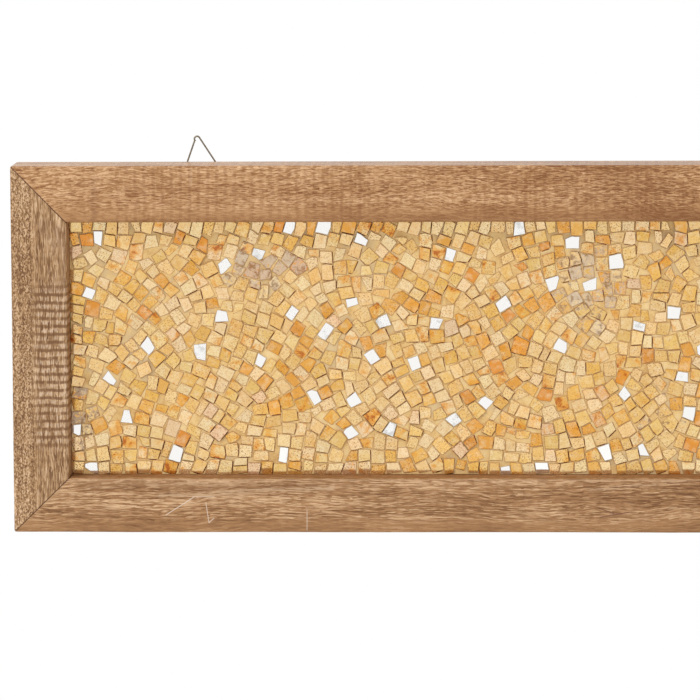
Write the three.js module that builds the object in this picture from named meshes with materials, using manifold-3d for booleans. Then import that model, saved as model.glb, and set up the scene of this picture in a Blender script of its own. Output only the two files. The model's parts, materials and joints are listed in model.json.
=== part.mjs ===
// Framed mosaic panel: a long mitred wooden frame around a field of small glass tesserae, with two wire
// hanging rings on straps at the back. Millimetres, +Z up, +X to the viewer's right, front towards -Y.
// The origin is the middle of the back, in the plane that meets the wall.
import * as THREE from "three";
import { mergeVertices } from "three/addons/utils/BufferGeometryUtils.js";
import Module from "manifold-3d";

// Frame
const PANEL_LENGTH = 1200;
const PANEL_HEIGHT = 305;
const FRAME_DEPTH = 45;
const TOP_WIDTH = 47;
const BOTTOM_WIDTH = 45;
const STILE_WIDTH = 46;
const OUTER_ROUND = 1.6; // radius of the frame's outer front edge
const INNER_ROUND = 3.2; // radius of its inner front edge
const ROUND_STEPS = 3;
const RABBET_WIDTH = 7;
const FIT_GAP = 0.3; // clearance between pieces that touch

// Board and mosaic
const BOARD_THICKNESS = 11;
const MOSAIC_RECESS = 27; // from the frame's front down to the common tile level
const OPENING_LENGTH = PANEL_LENGTH - 2 * STILE_WIDTH;
const OPENING_HEIGHT = PANEL_HEIGHT - TOP_WIDTH - BOTTOM_WIDTH;
const OPENING_LIFT = (BOTTOM_WIDTH - TOP_WIDTH) / 2; // from the panel's middle up to the opening's

// Tesserae
const TILE_SIDE = 10.8;
const TILE_SPREAD = 0.16; // share by which sides vary
const TILE_PITCH = 11.1;
const TILE_JOINT = 0.6;
const TILE_SWELL = 1.5; // how far a tile is first cut past its nominal half side
const TILE_TRIM = 3.2; // most that a corner is nipped back
const LEAST_SIDE = 1.3;
const DRIFT_CELL = 26; // distance over which the tiles' direction changes
const DRIFT_TURN = 1.25;
const SEAT_JITTER = 0.65;
const SETTLE_ROUNDS = 80;
const NEAR = 15.5; // tiles whose centres are further apart never meet
const LAYOUT_SEED = 20;
const PROUD_SEED = 7;
const PROUD_SHARE = 0.2; // share of the tiles that stand clear of the common level
const PROUD_LEAST = 0.7;
const PROUD_MOST = 1.2;

// Hangers
const HANGER_INSET = 157; // from the frame's end to the middle of a strap
const PIVOT_DROP = 13; // from the frame's top down to the ring's axis
const WIRE_RADIUS = 0.72;
const WIRE_SIDES = 8;
const BEND_STEPS = 3;
const BEND_REACH = 3.2; // length of leg that a bend takes up
const RING_BASE = 36;
const STRAP_WIDTH = 11;
const STRAP_LENGTH = 17;
const STRAP_THICKNESS = 1;
const LOOP_RADIUS = 1.15; // inside of the strap's loop
const SCREW_DROP = 10; // from the ring's axis down to the screw
const SCREW_RADIUS = 1.5;
const SCREW_DEPTH = 14;
const SCREW_CLEARANCE = 0.3;
const HEAD_RADIUS = 3.1;
const HEAD_HEIGHT = 1.6;

const FRONT = -FRAME_DEPTH;
const TILE_LEVEL = FRONT + MOSAIC_RECESS;
const BED_BACK = -BOARD_THICKNESS - FIT_GAP;
const PIVOT_HEIGHT = PANEL_HEIGHT / 2 - PIVOT_DROP;
const PIVOT_DEPTH = FIT_GAP + LOOP_RADIUS + STRAP_THICKNESS;

const WOOD = new THREE.MeshStandardMaterial({ color: 0xa67c52, roughness: 0.6, metalness: 0 });
const FIBREBOARD = new THREE.MeshStandardMaterial({ color: 0xa98b67, roughness: 0.9, metalness: 0 });
const TESSERAE = new THREE.MeshStandardMaterial({ color: 0xe3bd7a, roughness: 0.25, metalness: 0.2 });
const STEEL = new THREE.MeshStandardMaterial({ color: 0xb9b6ae, roughness: 0.35, metalness: 1 });

const wasm = await Module();
wasm.setup();

// A closed geometry as a solid for joins and cuts.
function solidFrom(geometry) {
  const bare = geometry.clone();
  bare.deleteAttribute("normal");
  bare.deleteAttribute("uv");
  const merged = mergeVertices(bare, 1e-4);
  return new wasm.Manifold(
    new wasm.Mesh({
      numProp: 3,
      vertProperties: merged.attributes.position.array,
      triVerts: new Uint32Array(merged.index.array),
    }),
  );
}

function geometryFrom(solid) {
  const mesh = solid.getMesh();
  const geometry = new THREE.BufferGeometry();
  geometry.setAttribute("position", new THREE.BufferAttribute(mesh.vertProperties, 3));
  geometry.setIndex(new THREE.BufferAttribute(mesh.triVerts, 1));
  geometry.computeVertexNormals();
  return geometry;
}

// A cylinder along Y between two depths.
function rod(radius, fromY, toY, x, z, sides) {
  const geometry = new THREE.CylinderGeometry(radius, radius, toY - fromY, sides);
  return geometry.translate(x, (fromY + toY) / 2, z);
}

// ---- Frame ----

// Section of a rail: x runs from the frame's outer edge to its opening, y from front to back.
function railSection(width) {
  const section = new THREE.Shape();
  const innerRound = width - INNER_ROUND;
  section.moveTo(0, 0);
  section.lineTo(0, FRONT + OUTER_ROUND);
  section.absarc(OUTER_ROUND, FRONT + OUTER_ROUND, OUTER_ROUND, Math.PI, 1.5 * Math.PI, false);
  section.lineTo(innerRound, FRONT);
  section.absarc(innerRound, FRONT + INNER_ROUND, INNER_ROUND, 1.5 * Math.PI, 2 * Math.PI, false);
  section.lineTo(width, BED_BACK);
  section.lineTo(width - RABBET_WIDTH, BED_BACK);
  section.lineTo(width - RABBET_WIDTH, 0);
  section.closePath();
  return section;
}

// A rail lying along X, its outer side a given drop below the middle. Its ends are mitred to meet rails of
// the given widths, first the one at its right-hand end.
function railGeometry({ length, drop, width, meets }) {
  const geometry = new THREE.ExtrudeGeometry(railSection(width), {
    depth: length,
    bevelEnabled: false,
    curveSegments: ROUND_STEPS,
  });
  const position = geometry.attributes.position;
  const clearance = FIT_GAP * Math.SQRT1_2;
  const [rightSlope, leftSlope] = meets.map((other) => other / width);
  for (let i = 0; i < position.count; i += 1) {
    const inwards = position.getX(i);
    const atLeft = position.getZ(i) > length / 2;
    const cut = clearance + inwards * (atLeft ? leftSlope : rightSlope);
    position.setZ(i, atLeft ? length - cut : cut);
  }
  geometry.translate(-drop, 0, -length / 2);
  geometry.rotateY(-Math.PI / 2);
  geometry.computeVertexNormals();
  return geometry;
}

const TOP = {
  length: PANEL_LENGTH,
  drop: PANEL_HEIGHT / 2,
  width: TOP_WIDTH,
  meets: [STILE_WIDTH, STILE_WIDTH],
};
const BOTTOM = { ...TOP, width: BOTTOM_WIDTH };
const LEFT = {
  length: PANEL_HEIGHT,
  drop: PANEL_LENGTH / 2,
  width: STILE_WIDTH,
  meets: [BOTTOM_WIDTH, TOP_WIDTH],
};
const RIGHT = { ...LEFT, meets: [TOP_WIDTH, BOTTOM_WIDTH] };

function rail(name, geometry, turn) {
  const mesh = new THREE.Mesh(geometry, WOOD);
  mesh.name = name;
  mesh.rotation.y = turn;
  return mesh;
}

// The top rail also takes the two strap screws. It is turned half round, so its holes are cut mirrored.
function topRailGeometry() {
  let solid = solidFrom(railGeometry(TOP));
  for (const side of [-1, 1]) {
    const x = side * (PANEL_LENGTH / 2 - HANGER_INSET);
    const z = SCREW_DROP - PIVOT_HEIGHT;
    const hole = rod(SCREW_RADIUS + SCREW_CLEARANCE, -SCREW_DEPTH - 1, 1, x, z, 12);
    solid = solid.subtract(solidFrom(hole));
  }
  return geometryFrom(solid);
}

function frame() {
  const group = new THREE.Group();
  group.add(rail("top_rail", topRailGeometry(), Math.PI));
  group.add(rail("bottom_rail", railGeometry(BOTTOM), 0));
  group.add(rail("left_stile", railGeometry(LEFT), Math.PI / 2));
  group.add(rail("right_stile", railGeometry(RIGHT), -Math.PI / 2));
  return group;
}

function backingBoard() {
  const grow = 2 * (RABBET_WIDTH - FIT_GAP);
  const geometry = new THREE.BoxGeometry(OPENING_LENGTH + grow, BOARD_THICKNESS, OPENING_HEIGHT + grow);
  const mesh = new THREE.Mesh(geometry, FIBREBOARD);
  mesh.name = "backing_board";
  mesh.position.set(0, -BOARD_THICKNESS / 2, OPENING_LIFT);
  return mesh;
}

// ---- Mosaic ----
// The tesserae are laid as a setter would: seated row by row with a wandering direction, pushed apart until
// each has its joint, then nipped where two still meet. Places are measured from the opening's lower left.

// A repeatable run of numbers from 0 to 1.
function drawsFrom(seed) {
  let state = seed;
  return () => {
    state = (state * 1664525 + 1013904223) % 4294967296;
    return state / 4294967296;
  };
}

function ease(value) {
  const t = Math.min(1, Math.max(0, value));
  return t * t * (3 - 2 * t);
}

// A smooth field of turns, between draws held at the corners of a coarse grid.
function turnField(draw) {
  const across = Math.floor(OPENING_LENGTH / DRIFT_CELL) + 2;
  const up = Math.floor(OPENING_HEIGHT / DRIFT_CELL) + 2;
  const held = [];
  for (let j = 0; j < up; j += 1) {
    held.push([]);
    for (let i = 0; i < across; i += 1) held[j].push(2 * draw() - 1);
  }
  return (x, y) => {
    const i = Math.floor(x / DRIFT_CELL);
    const j = Math.floor(y / DRIFT_CELL);
    const s = ease(x / DRIFT_CELL - i);
    const t = ease(y / DRIFT_CELL - j);
    const low = held[j][i] * (1 - s) + held[j][i + 1] * s;
    const high = held[j + 1][i] * (1 - s) + held[j + 1][i + 1] * s;
    return low * (1 - t) + high * t;
  };
}

function seatTiles(draw, columns, rows) {
  const turnAt = turnField(draw);
  const stepX = OPENING_LENGTH / columns;
  const stepY = OPENING_HEIGHT / rows;
  const tiles = [];
  for (let row = 0; row < rows; row += 1) {
    for (let column = 0; column < columns; column += 1) {
      const [jumpX, jumpY, jumpTurn, wide, high] = Array.from({ length: 5 }, () => 2 * draw() - 1);
      const endColumn = column === 0 || column === columns - 1;
      const endRow = row === 0 || row === rows - 1;
      let x = (column + 0.5) * stepX + (endColumn ? 0 : SEAT_JITTER * stepX * jumpX);
      let y = (row + 0.5) * stepY + (endRow ? 0 : SEAT_JITTER * stepY * jumpY);
      x = Math.min(OPENING_LENGTH - 1, Math.max(1, x));
      y = Math.min(OPENING_HEIGHT - 1, Math.max(1, y));
      const fromEdge = Math.min(x, y, OPENING_LENGTH - x, OPENING_HEIGHT - y);
      const free = ease((fromEdge - 8) / 22);
      const turn = free * DRIFT_TURN * turnAt(x, y) + jumpTurn * (0.015 + 0.1 * free);
      const scale = 1 + turn * turn;
      tiles.push({
        column,
        row,
        x,
        y,
        ux: (1 - turn * turn) / scale,
        uy: (2 * turn) / scale,
        halfWidth: (TILE_SIDE / 2) * (1 + TILE_SPREAD * wide),
        halfHeight: (TILE_SIDE / 2) * (1 + TILE_SPREAD * high),
      });
    }
  }
  return tiles;
}

// Calls meet(a, b) once for every two tiles whose centres are closer than reach.
function forNearPairs(tiles, columns, rows, reach, meet) {
  for (const a of tiles) {
    for (let up = 0; up < 4; up += 1) {
      for (let across = up > 0 ? -3 : 1; across < 4; across += 1) {
        const column = a.column + across;
        const row = a.row + up;
        if (column < 0 || column >= columns || row >= rows) continue;
        const b = tiles[row * columns + column];
        const dx = b.x - a.x;
        const dy = b.y - a.y;
        if (dx * dx + dy * dy < reach * reach) meet(a, b);
      }
    }
  }
}

function turnTile(tile, turn) {
  const ux = tile.ux - turn * tile.uy;
  const uy = tile.uy + turn * tile.ux;
  const size = Math.sqrt(ux * ux + uy * uy);
  tile.ux = ux / size;
  tile.uy = uy / size;
}

// Moves two tiles apart along the side where they overlap least, and turns them to lie side by side.
function pushApart(a, b, grow) {
  const dx = b.x - a.x;
  const dy = b.y - a.y;
  const dot = a.ux * b.ux + a.uy * b.uy;
  const cross = a.ux * b.uy - a.uy * b.ux;
  const along = Math.abs(dot);
  const askew = Math.abs(cross);
  const aw = a.halfWidth * grow + TILE_JOINT / 2;
  const ah = a.halfHeight * grow + TILE_JOINT / 2;
  const bw = b.halfWidth * grow + TILE_JOINT / 2;
  const bh = b.halfHeight * grow + TILE_JOINT / 2;
  const sides = [
    [a.ux, a.uy, aw + bw * along + bh * askew],
    [-a.uy, a.ux, ah + bw * askew + bh * along],
    [b.ux, b.uy, bw + aw * along + ah * askew],
    [-b.uy, b.ux, bh + aw * askew + ah * along],
  ];
  let least = Infinity;
  let nx = 0;
  let ny = 0;
  for (const [ex, ey, span] of sides) {
    const reach = dx * ex + dy * ey;
    const depth = span - Math.abs(reach);
    if (depth <= 0) return;
    if (depth < least) {
      least = depth;
      nx = reach < 0 ? -ex : ex;
      ny = reach < 0 ? -ey : ey;
    }
  }
  const push = 0.4 * least;
  a.x -= nx * push;
  a.y -= ny * push;
  b.x += nx * push;
  b.y += ny * push;
  let lean = 0;
  if (along >= askew) lean = dot > 0 ? cross : -cross;
  else lean = cross > 0 ? -dot : dot;
  const turn = 0.06 * lean * Math.min(1, least);
  turnTile(a, turn);
  turnTile(b, -turn);
}

// Keeps a tile in the opening, and the outermost rows against the frame.
function holdInside(tile, columns, rows, grow) {
  const ax = Math.abs(tile.ux);
  const ay = Math.abs(tile.uy);
  const reachX = (tile.halfWidth * ax + tile.halfHeight * ay) * grow;
  const reachY = (tile.halfHeight * ax + tile.halfWidth * ay) * grow;
  tile.x = Math.min(OPENING_LENGTH - reachX, Math.max(reachX, tile.x));
  tile.y = Math.min(OPENING_HEIGHT - reachY, Math.max(reachY, tile.y));
  if (tile.column === 0) tile.x = reachX;
  if (tile.column === columns - 1) tile.x = OPENING_LENGTH - reachX;
  if (tile.row === 0) tile.y = reachY;
  if (tile.row === rows - 1) tile.y = OPENING_HEIGHT - reachY;
}

function settleTiles(tiles, columns, rows) {
  for (let round = 1; round <= SETTLE_ROUNDS; round += 1) {
    const grow = 0.86 + 0.14 * ease(round / (0.6 * SETTLE_ROUNDS));
    forNearPairs(tiles, columns, rows, NEAR, (a, b) => pushApart(a, b, grow));
    for (const tile of tiles) holdInside(tile, columns, rows, grow);
  }
}

// The part of an outline on the near side of the line nx*x + ny*y = limit.
function clipped(outline, nx, ny, limit) {
  const kept = [];
  outline.forEach(([px, py], i) => {
    const [qx, qy] = outline[(i + 1) % outline.length];
    const here = px * nx + py * ny - limit;
    const next = qx * nx + qy * ny - limit;
    if (here <= 0) kept.push([px, py]);
    if (here * next < 0) {
      const t = here / (here - next);
      kept.push([px + (qx - px) * t, py + (qy - py) * t]);
    }
  });
  return kept;
}

function cutOutline(tile, draw) {
  let outline = [];
  for (const [right, up] of [[-1, -1], [1, -1], [1, 1], [-1, 1]]) {
    const nipX = draw();
    const nipY = draw();
    const p = right * (tile.halfWidth + TILE_SWELL - TILE_TRIM * nipX * nipX);
    const q = up * (tile.halfHeight + TILE_SWELL - TILE_TRIM * nipY * nipY);
    outline.push([tile.x + p * tile.ux - q * tile.uy, tile.y + p * tile.uy + q * tile.ux]);
  }
  outline = clipped(outline, -1, 0, 0);
  outline = clipped(outline, 1, 0, OPENING_LENGTH);
  outline = clipped(outline, 0, -1, 0);
  return clipped(outline, 0, 1, OPENING_HEIGHT);
}

// Nips two outlines back to keep a joint along the line midway in the widest gap between them.
function keepJoint(a, b) {
  let widest = -Infinity;
  let line = null;
  for (const [one, other, sign] of [[a.outline, b.outline, 1], [b.outline, a.outline, -1]]) {
    one.forEach(([px, py], i) => {
      const [qx, qy] = one[(i + 1) % one.length];
      const ex = qx - px;
      const ey = qy - py;
      const size = Math.sqrt(ex * ex + ey * ey);
      if (size < 1) return;
      const nx = ey / size;
      const ny = -ex / size;
      const base = px * nx + py * ny;
      const gap = Math.min(...other.map(([x, y]) => x * nx + y * ny)) - base;
      if (gap > widest) {
        widest = gap;
        line = [nx * sign, ny * sign, (base + gap / 2) * sign];
      }
    });
  }
  if (widest >= TILE_JOINT) return;
  const [nx, ny, middle] = line;
  a.outline = clipped(a.outline, nx, ny, middle - TILE_JOINT / 2);
  b.outline = clipped(b.outline, -nx, -ny, -middle - TILE_JOINT / 2);
}

function dropShortSides(outline) {
  return outline.filter(([px, py], i) => {
    const [qx, qy] = outline[(i + 1) % outline.length];
    return (qx - px) * (qx - px) + (qy - py) * (qy - py) >= LEAST_SIDE * LEAST_SIDE;
  });
}

function layTiles() {
  const columns = Math.round(OPENING_LENGTH / TILE_PITCH);
  const rows = Math.round(OPENING_HEIGHT / TILE_PITCH);
  const draw = drawsFrom(LAYOUT_SEED);
  const tiles = seatTiles(draw, columns, rows);
  settleTiles(tiles, columns, rows);
  for (const tile of tiles) tile.outline = cutOutline(tile, draw);
  forNearPairs(tiles, columns, rows, NEAR + 1.5, keepJoint);
  for (const tile of tiles) tile.outline = dropShortSides(tile.outline);
  return tiles;
}

// A tile standing proud of the bed, sunk well into it so that the two are one.
function tileGeometry(outline, proud) {
  const points = outline.map(([x, y]) => new THREE.Vector2(x, y));
  const sunk = 1;
  const geometry = new THREE.ExtrudeGeometry(new THREE.Shape(points), {
    depth: sunk + proud,
    bevelEnabled: false,
  });
  geometry.rotateX(Math.PI / 2);
  return geometry.translate(-OPENING_LENGTH / 2, TILE_LEVEL + sunk, -OPENING_HEIGHT / 2);
}

// Joins solids two by two, which is quicker than adding each to the whole.
function joined(solids) {
  if (solids.length === 1) return solids[0];
  const half = Math.ceil(solids.length / 2);
  return joined(solids.slice(0, half)).add(joined(solids.slice(half)));
}

function mosaicField() {
  const bed = new THREE.BoxGeometry(
    OPENING_LENGTH - 2 * FIT_GAP,
    BED_BACK - TILE_LEVEL,
    OPENING_HEIGHT - 2 * FIT_GAP,
  );
  bed.translate(0, (BED_BACK + TILE_LEVEL) / 2, 0);
  const draw = drawsFrom(PROUD_SEED);
  const proudTiles = [];
  for (const tile of layTiles()) {
    const isProud = draw() < PROUD_SHARE;
    const proud = PROUD_LEAST + (PROUD_MOST - PROUD_LEAST) * draw();
    if (isProud) proudTiles.push(solidFrom(tileGeometry(tile.outline, proud)));
  }
  const keepIn = new THREE.BoxGeometry(
    OPENING_LENGTH - 2 * FIT_GAP,
    FRAME_DEPTH,
    OPENING_HEIGHT - 2 * FIT_GAP,
  ).translate(0, -FRAME_DEPTH / 2, 0);
  const solid = joined(proudTiles).intersect(solidFrom(keepIn)).add(solidFrom(bed));
  const mesh = new THREE.Mesh(geometryFrom(solid), TESSERAE);
  mesh.name = "mosaic_field";
  mesh.position.z = OPENING_LIFT;
  return mesh;
}

// ---- Hangers ----

// A wire sampled at the points that it is bent through.
class BentWire extends THREE.Curve {
  constructor(points) {
    super();
    this.points = points;
  }

  getPoint(t) {
    const place = Math.min(1, Math.max(0, t)) * (this.points.length - 1);
    const i = Math.min(this.points.length - 2, Math.floor(place));
    return this.points[i].clone().lerp(this.points[i + 1], place - i);
  }

  getPointAt(t) {
    return this.getPoint(t);
  }

  getTangentAt(t) {
    return this.getTangent(t);
  }
}

// The points of a bend: a short curve that leaves one leg and joins the next.
function bend(before, corner, after) {
  const from = corner.clone().add(before.clone().sub(corner).setLength(BEND_REACH));
  const to = corner.clone().add(after.clone().sub(corner).setLength(BEND_REACH));
  return new THREE.QuadraticBezierCurve3(from, corner, to).getPoints(BEND_STEPS);
}

// The ring's wire, from the cut end of one leg, along the base, to the small hook over the apex.
// Heights are above the ring's axis; facing is 1 where the apex leans to -X and -1 where it leans to +X.
function ringPath(facing) {
  const at = (x, z) => new THREE.Vector3(facing * x, 0, z);
  const legEnd = at(-8.2, 28.4);
  const nearCorner = at(-RING_BASE / 2, 0);
  const farCorner = at(RING_BASE / 2, 0);
  const apex = at(-3.6, 33.3);
  const hook = [
    at(-4.6, 33.9),
    at(-5.8, 33.9),
    at(-6.9, 33.3),
    at(-7.5, 32.2),
    at(-7.4, 31),
    at(-6.7, 29.9),
  ];
  return new BentWire([
    legEnd,
    ...bend(legEnd, nearCorner, farCorner),
    ...bend(nearCorner, farCorner, apex),
    apex,
    ...hook,
  ]);
}

function hangingRing(name, facing) {
  const circle = new THREE.Shape();
  circle.absarc(0, 0, WIRE_RADIUS, 0, 2 * Math.PI, false);
  const path = ringPath(facing);
  const geometry = new THREE.ExtrudeGeometry(circle, {
    steps: path.points.length - 1,
    curveSegments: WIRE_SIDES / 2,
    extrudePath: path,
  });
  const mesh = new THREE.Mesh(geometry, STEEL);
  mesh.name = name;
  return mesh;
}

// A strip of sheet folded round the wire: two layers against the rail, opening into a loop at the top.
function strapGeometry() {
  const outer = LOOP_RADIUS + STRAP_THICKNESS;
  const section = new THREE.Shape();
  section.moveTo(-outer, -STRAP_LENGTH);
  section.lineTo(-outer + 2 * STRAP_THICKNESS, -STRAP_LENGTH);
  section.lineTo(-outer + 2 * STRAP_THICKNESS, -2.4 * outer);
  section.absarc(0, 0, outer, -0.15 * Math.PI, Math.PI, false);
  section.closePath();
  const loop = new THREE.Path();
  loop.absarc(0, 0, LOOP_RADIUS, 0, 2 * Math.PI, true);
  section.holes.push(loop);
  const geometry = new THREE.ExtrudeGeometry(section, {
    depth: STRAP_WIDTH,
    bevelEnabled: false,
    curveSegments: 10,
  });
  // Section x becomes depth (Y), section y becomes height (Z), and the strip's width lies along X.
  geometry.translate(0, 0, -STRAP_WIDTH / 2);
  geometry.rotateY(Math.PI / 2);
  return geometry.rotateX(Math.PI / 2);
}

function strap(name) {
  const hole = rod(SCREW_RADIUS + SCREW_CLEARANCE, -9, 9, 0, -SCREW_DROP, 12);
  const solid = solidFrom(strapGeometry()).subtract(solidFrom(hole));
  const mesh = new THREE.Mesh(geometryFrom(solid), STEEL);
  mesh.name = name;
  return mesh;
}

// A pan-head screw as one turned shape, pointing into the rail.
function strapScrew(name) {
  const seat = FIT_GAP + 2 * STRAP_THICKNESS + FIT_GAP;
  const profile = [
    [0, -SCREW_DEPTH],
    [SCREW_RADIUS, -SCREW_DEPTH + 2.5],
    [SCREW_RADIUS, seat],
    [HEAD_RADIUS, seat],
    [HEAD_RADIUS, seat + 0.5 * HEAD_HEIGHT],
    [0.6 * HEAD_RADIUS, seat + HEAD_HEIGHT],
    [0, seat + HEAD_HEIGHT],
  ].map(([r, y]) => new THREE.Vector2(r, y));
  const mesh = new THREE.Mesh(new THREE.LatheGeometry(profile, 12), STEEL);
  mesh.name = name;
  mesh.position.set(0, -PIVOT_DEPTH, -SCREW_DROP);
  return mesh;
}

function hanger(side, word) {
  const group = new THREE.Group();
  group.position.set(side * (PANEL_LENGTH / 2 - HANGER_INSET), PIVOT_DEPTH, PIVOT_HEIGHT);
  group.add(strap(`${word}_hanger_strap`));
  group.add(hangingRing(`${word}_hanging_ring`, -side));
  group.add(strapScrew(`${word}_strap_screw`));
  return group;
}

const panel = new THREE.Group();
panel.add(frame(), backingBoard(), mosaicField(), hanger(-1, "left"), hanger(1, "right"));

export default panel;
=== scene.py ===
"""Dresses the framed mosaic panel: a waxed hardwood frame, glass tesserae set in grout, wire hanging rings.

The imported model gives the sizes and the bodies. Lengths are in millimetres unless a name says otherwise, and
become metres where a mesh is made. +X is the viewer's right, -Y the front and +Z up.
"""

import json
import logging
import math
from collections.abc import Iterator, Mapping
from dataclasses import dataclass, field
from enum import Enum

import bmesh
import bpy
import numpy as np
from mathutils import Matrix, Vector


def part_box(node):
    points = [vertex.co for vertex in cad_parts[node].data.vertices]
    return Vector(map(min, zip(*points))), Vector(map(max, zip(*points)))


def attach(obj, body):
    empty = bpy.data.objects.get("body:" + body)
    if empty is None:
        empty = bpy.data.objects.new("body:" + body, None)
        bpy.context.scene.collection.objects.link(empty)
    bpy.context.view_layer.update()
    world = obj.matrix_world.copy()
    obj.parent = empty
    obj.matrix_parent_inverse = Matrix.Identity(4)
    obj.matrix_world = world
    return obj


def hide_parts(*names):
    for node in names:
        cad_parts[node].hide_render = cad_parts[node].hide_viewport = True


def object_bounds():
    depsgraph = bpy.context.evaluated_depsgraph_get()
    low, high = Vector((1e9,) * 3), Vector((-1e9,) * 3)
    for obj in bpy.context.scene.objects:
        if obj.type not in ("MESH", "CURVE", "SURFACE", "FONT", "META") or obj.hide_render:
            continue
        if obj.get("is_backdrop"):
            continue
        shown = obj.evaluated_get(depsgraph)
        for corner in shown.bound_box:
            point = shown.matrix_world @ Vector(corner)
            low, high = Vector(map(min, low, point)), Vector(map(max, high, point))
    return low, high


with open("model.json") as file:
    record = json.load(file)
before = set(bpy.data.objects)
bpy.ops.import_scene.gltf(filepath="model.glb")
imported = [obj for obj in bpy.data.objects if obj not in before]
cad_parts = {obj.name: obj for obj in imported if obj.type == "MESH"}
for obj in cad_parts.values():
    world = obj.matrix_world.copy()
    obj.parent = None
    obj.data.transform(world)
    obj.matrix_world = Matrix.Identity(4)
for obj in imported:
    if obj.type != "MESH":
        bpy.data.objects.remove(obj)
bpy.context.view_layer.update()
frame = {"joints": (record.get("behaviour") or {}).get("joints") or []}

LOG = logging.getLogger("mosaic_panel")
MM = 0.001
Colour = tuple[float, float, float, float]
Point = tuple[float, float]
Outline = list[Point]


def shade(red: int, green: int, blue: int) -> Colour:
    """A display colour, 0 to 255 a channel, as linear light.

    Args:
        red: Red channel.
        green: Green channel.
        blue: Blue channel.

    Returns:
        The colour as red, green, blue and full alpha.
    """
    channels = []
    for value in (red, green, blue):
        share = value / 255
        channels.append(share / 12.92 if share <= 0.04045 else ((share + 0.055) / 1.055) ** 2.4)
    return (channels[0], channels[1], channels[2], 1.0)


# ---- Node trees ----


class Term:
    """A value socket in an arithmetic expression; each operation adds one Math node."""

    def __init__(self, bench: "Bench", socket: bpy.types.NodeSocket) -> None:
        """Wraps an output socket of the bench's tree."""
        self.bench = bench
        self.socket = socket

    def _math(self, operation: str, *operands: "Term | float") -> "Term":
        """Adds a Math node.

        Args:
            operation: The node's operation.
            operands: Its inputs in order.

        Returns:
            The node's result.
        """
        node = self.bench.add("ShaderNodeMath", {"operation": operation}, dict(enumerate(operands)))
        return Term(self.bench, node.outputs[0])

    def __add__(self, other: "Term | float") -> "Term":
        """This plus other."""
        return self._math("ADD", self, other)

    __radd__ = __add__

    def __sub__(self, other: "Term | float") -> "Term":
        """This minus other."""
        return self._math("SUBTRACT", self, other)

    def __rsub__(self, other: float) -> "Term":
        """Other minus this."""
        return self._math("SUBTRACT", other, self)

    def __mul__(self, other: "Term | float") -> "Term":
        """This times other."""
        return self._math("MULTIPLY", self, other)

    __rmul__ = __mul__

    def __truediv__(self, other: "Term | float") -> "Term":
        """This over other."""
        return self._math("DIVIDE", self, other)

    def __pow__(self, other: float) -> "Term":
        """This to the power other."""
        return self._math("POWER", self, other)

    def __abs__(self) -> "Term":
        """This without its sign."""
        return self._math("ABSOLUTE", self)

    def at_most(self, other: "Term | float") -> "Term":
        """The smaller of this and other."""
        return self._math("MINIMUM", self, other)

    def at_least(self, other: "Term | float") -> "Term":
        """The larger of this and other."""
        return self._math("MAXIMUM", self, other)

    def sine(self) -> "Term":
        """The sine of this, in radians."""
        return self._math("SINE", self)

    def step(self, low: float, high: float) -> "Term":
        """A smooth rise from 0 at low to 1 at high; low may be the larger.

        Args:
            low: Value that gives 0.
            high: Value that gives 1.

        Returns:
            The mask.
        """
        ends = {"Value": self, "From Min": min(low, high), "From Max": max(low, high)}
        if low > high:
            ends |= {"To Min": 1.0, "To Max": 0.0}
        node = self.bench.add("ShaderNodeMapRange", {"interpolation_type": "SMOOTHSTEP"}, ends)
        return Term(self.bench, node.outputs["Result"])


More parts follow.
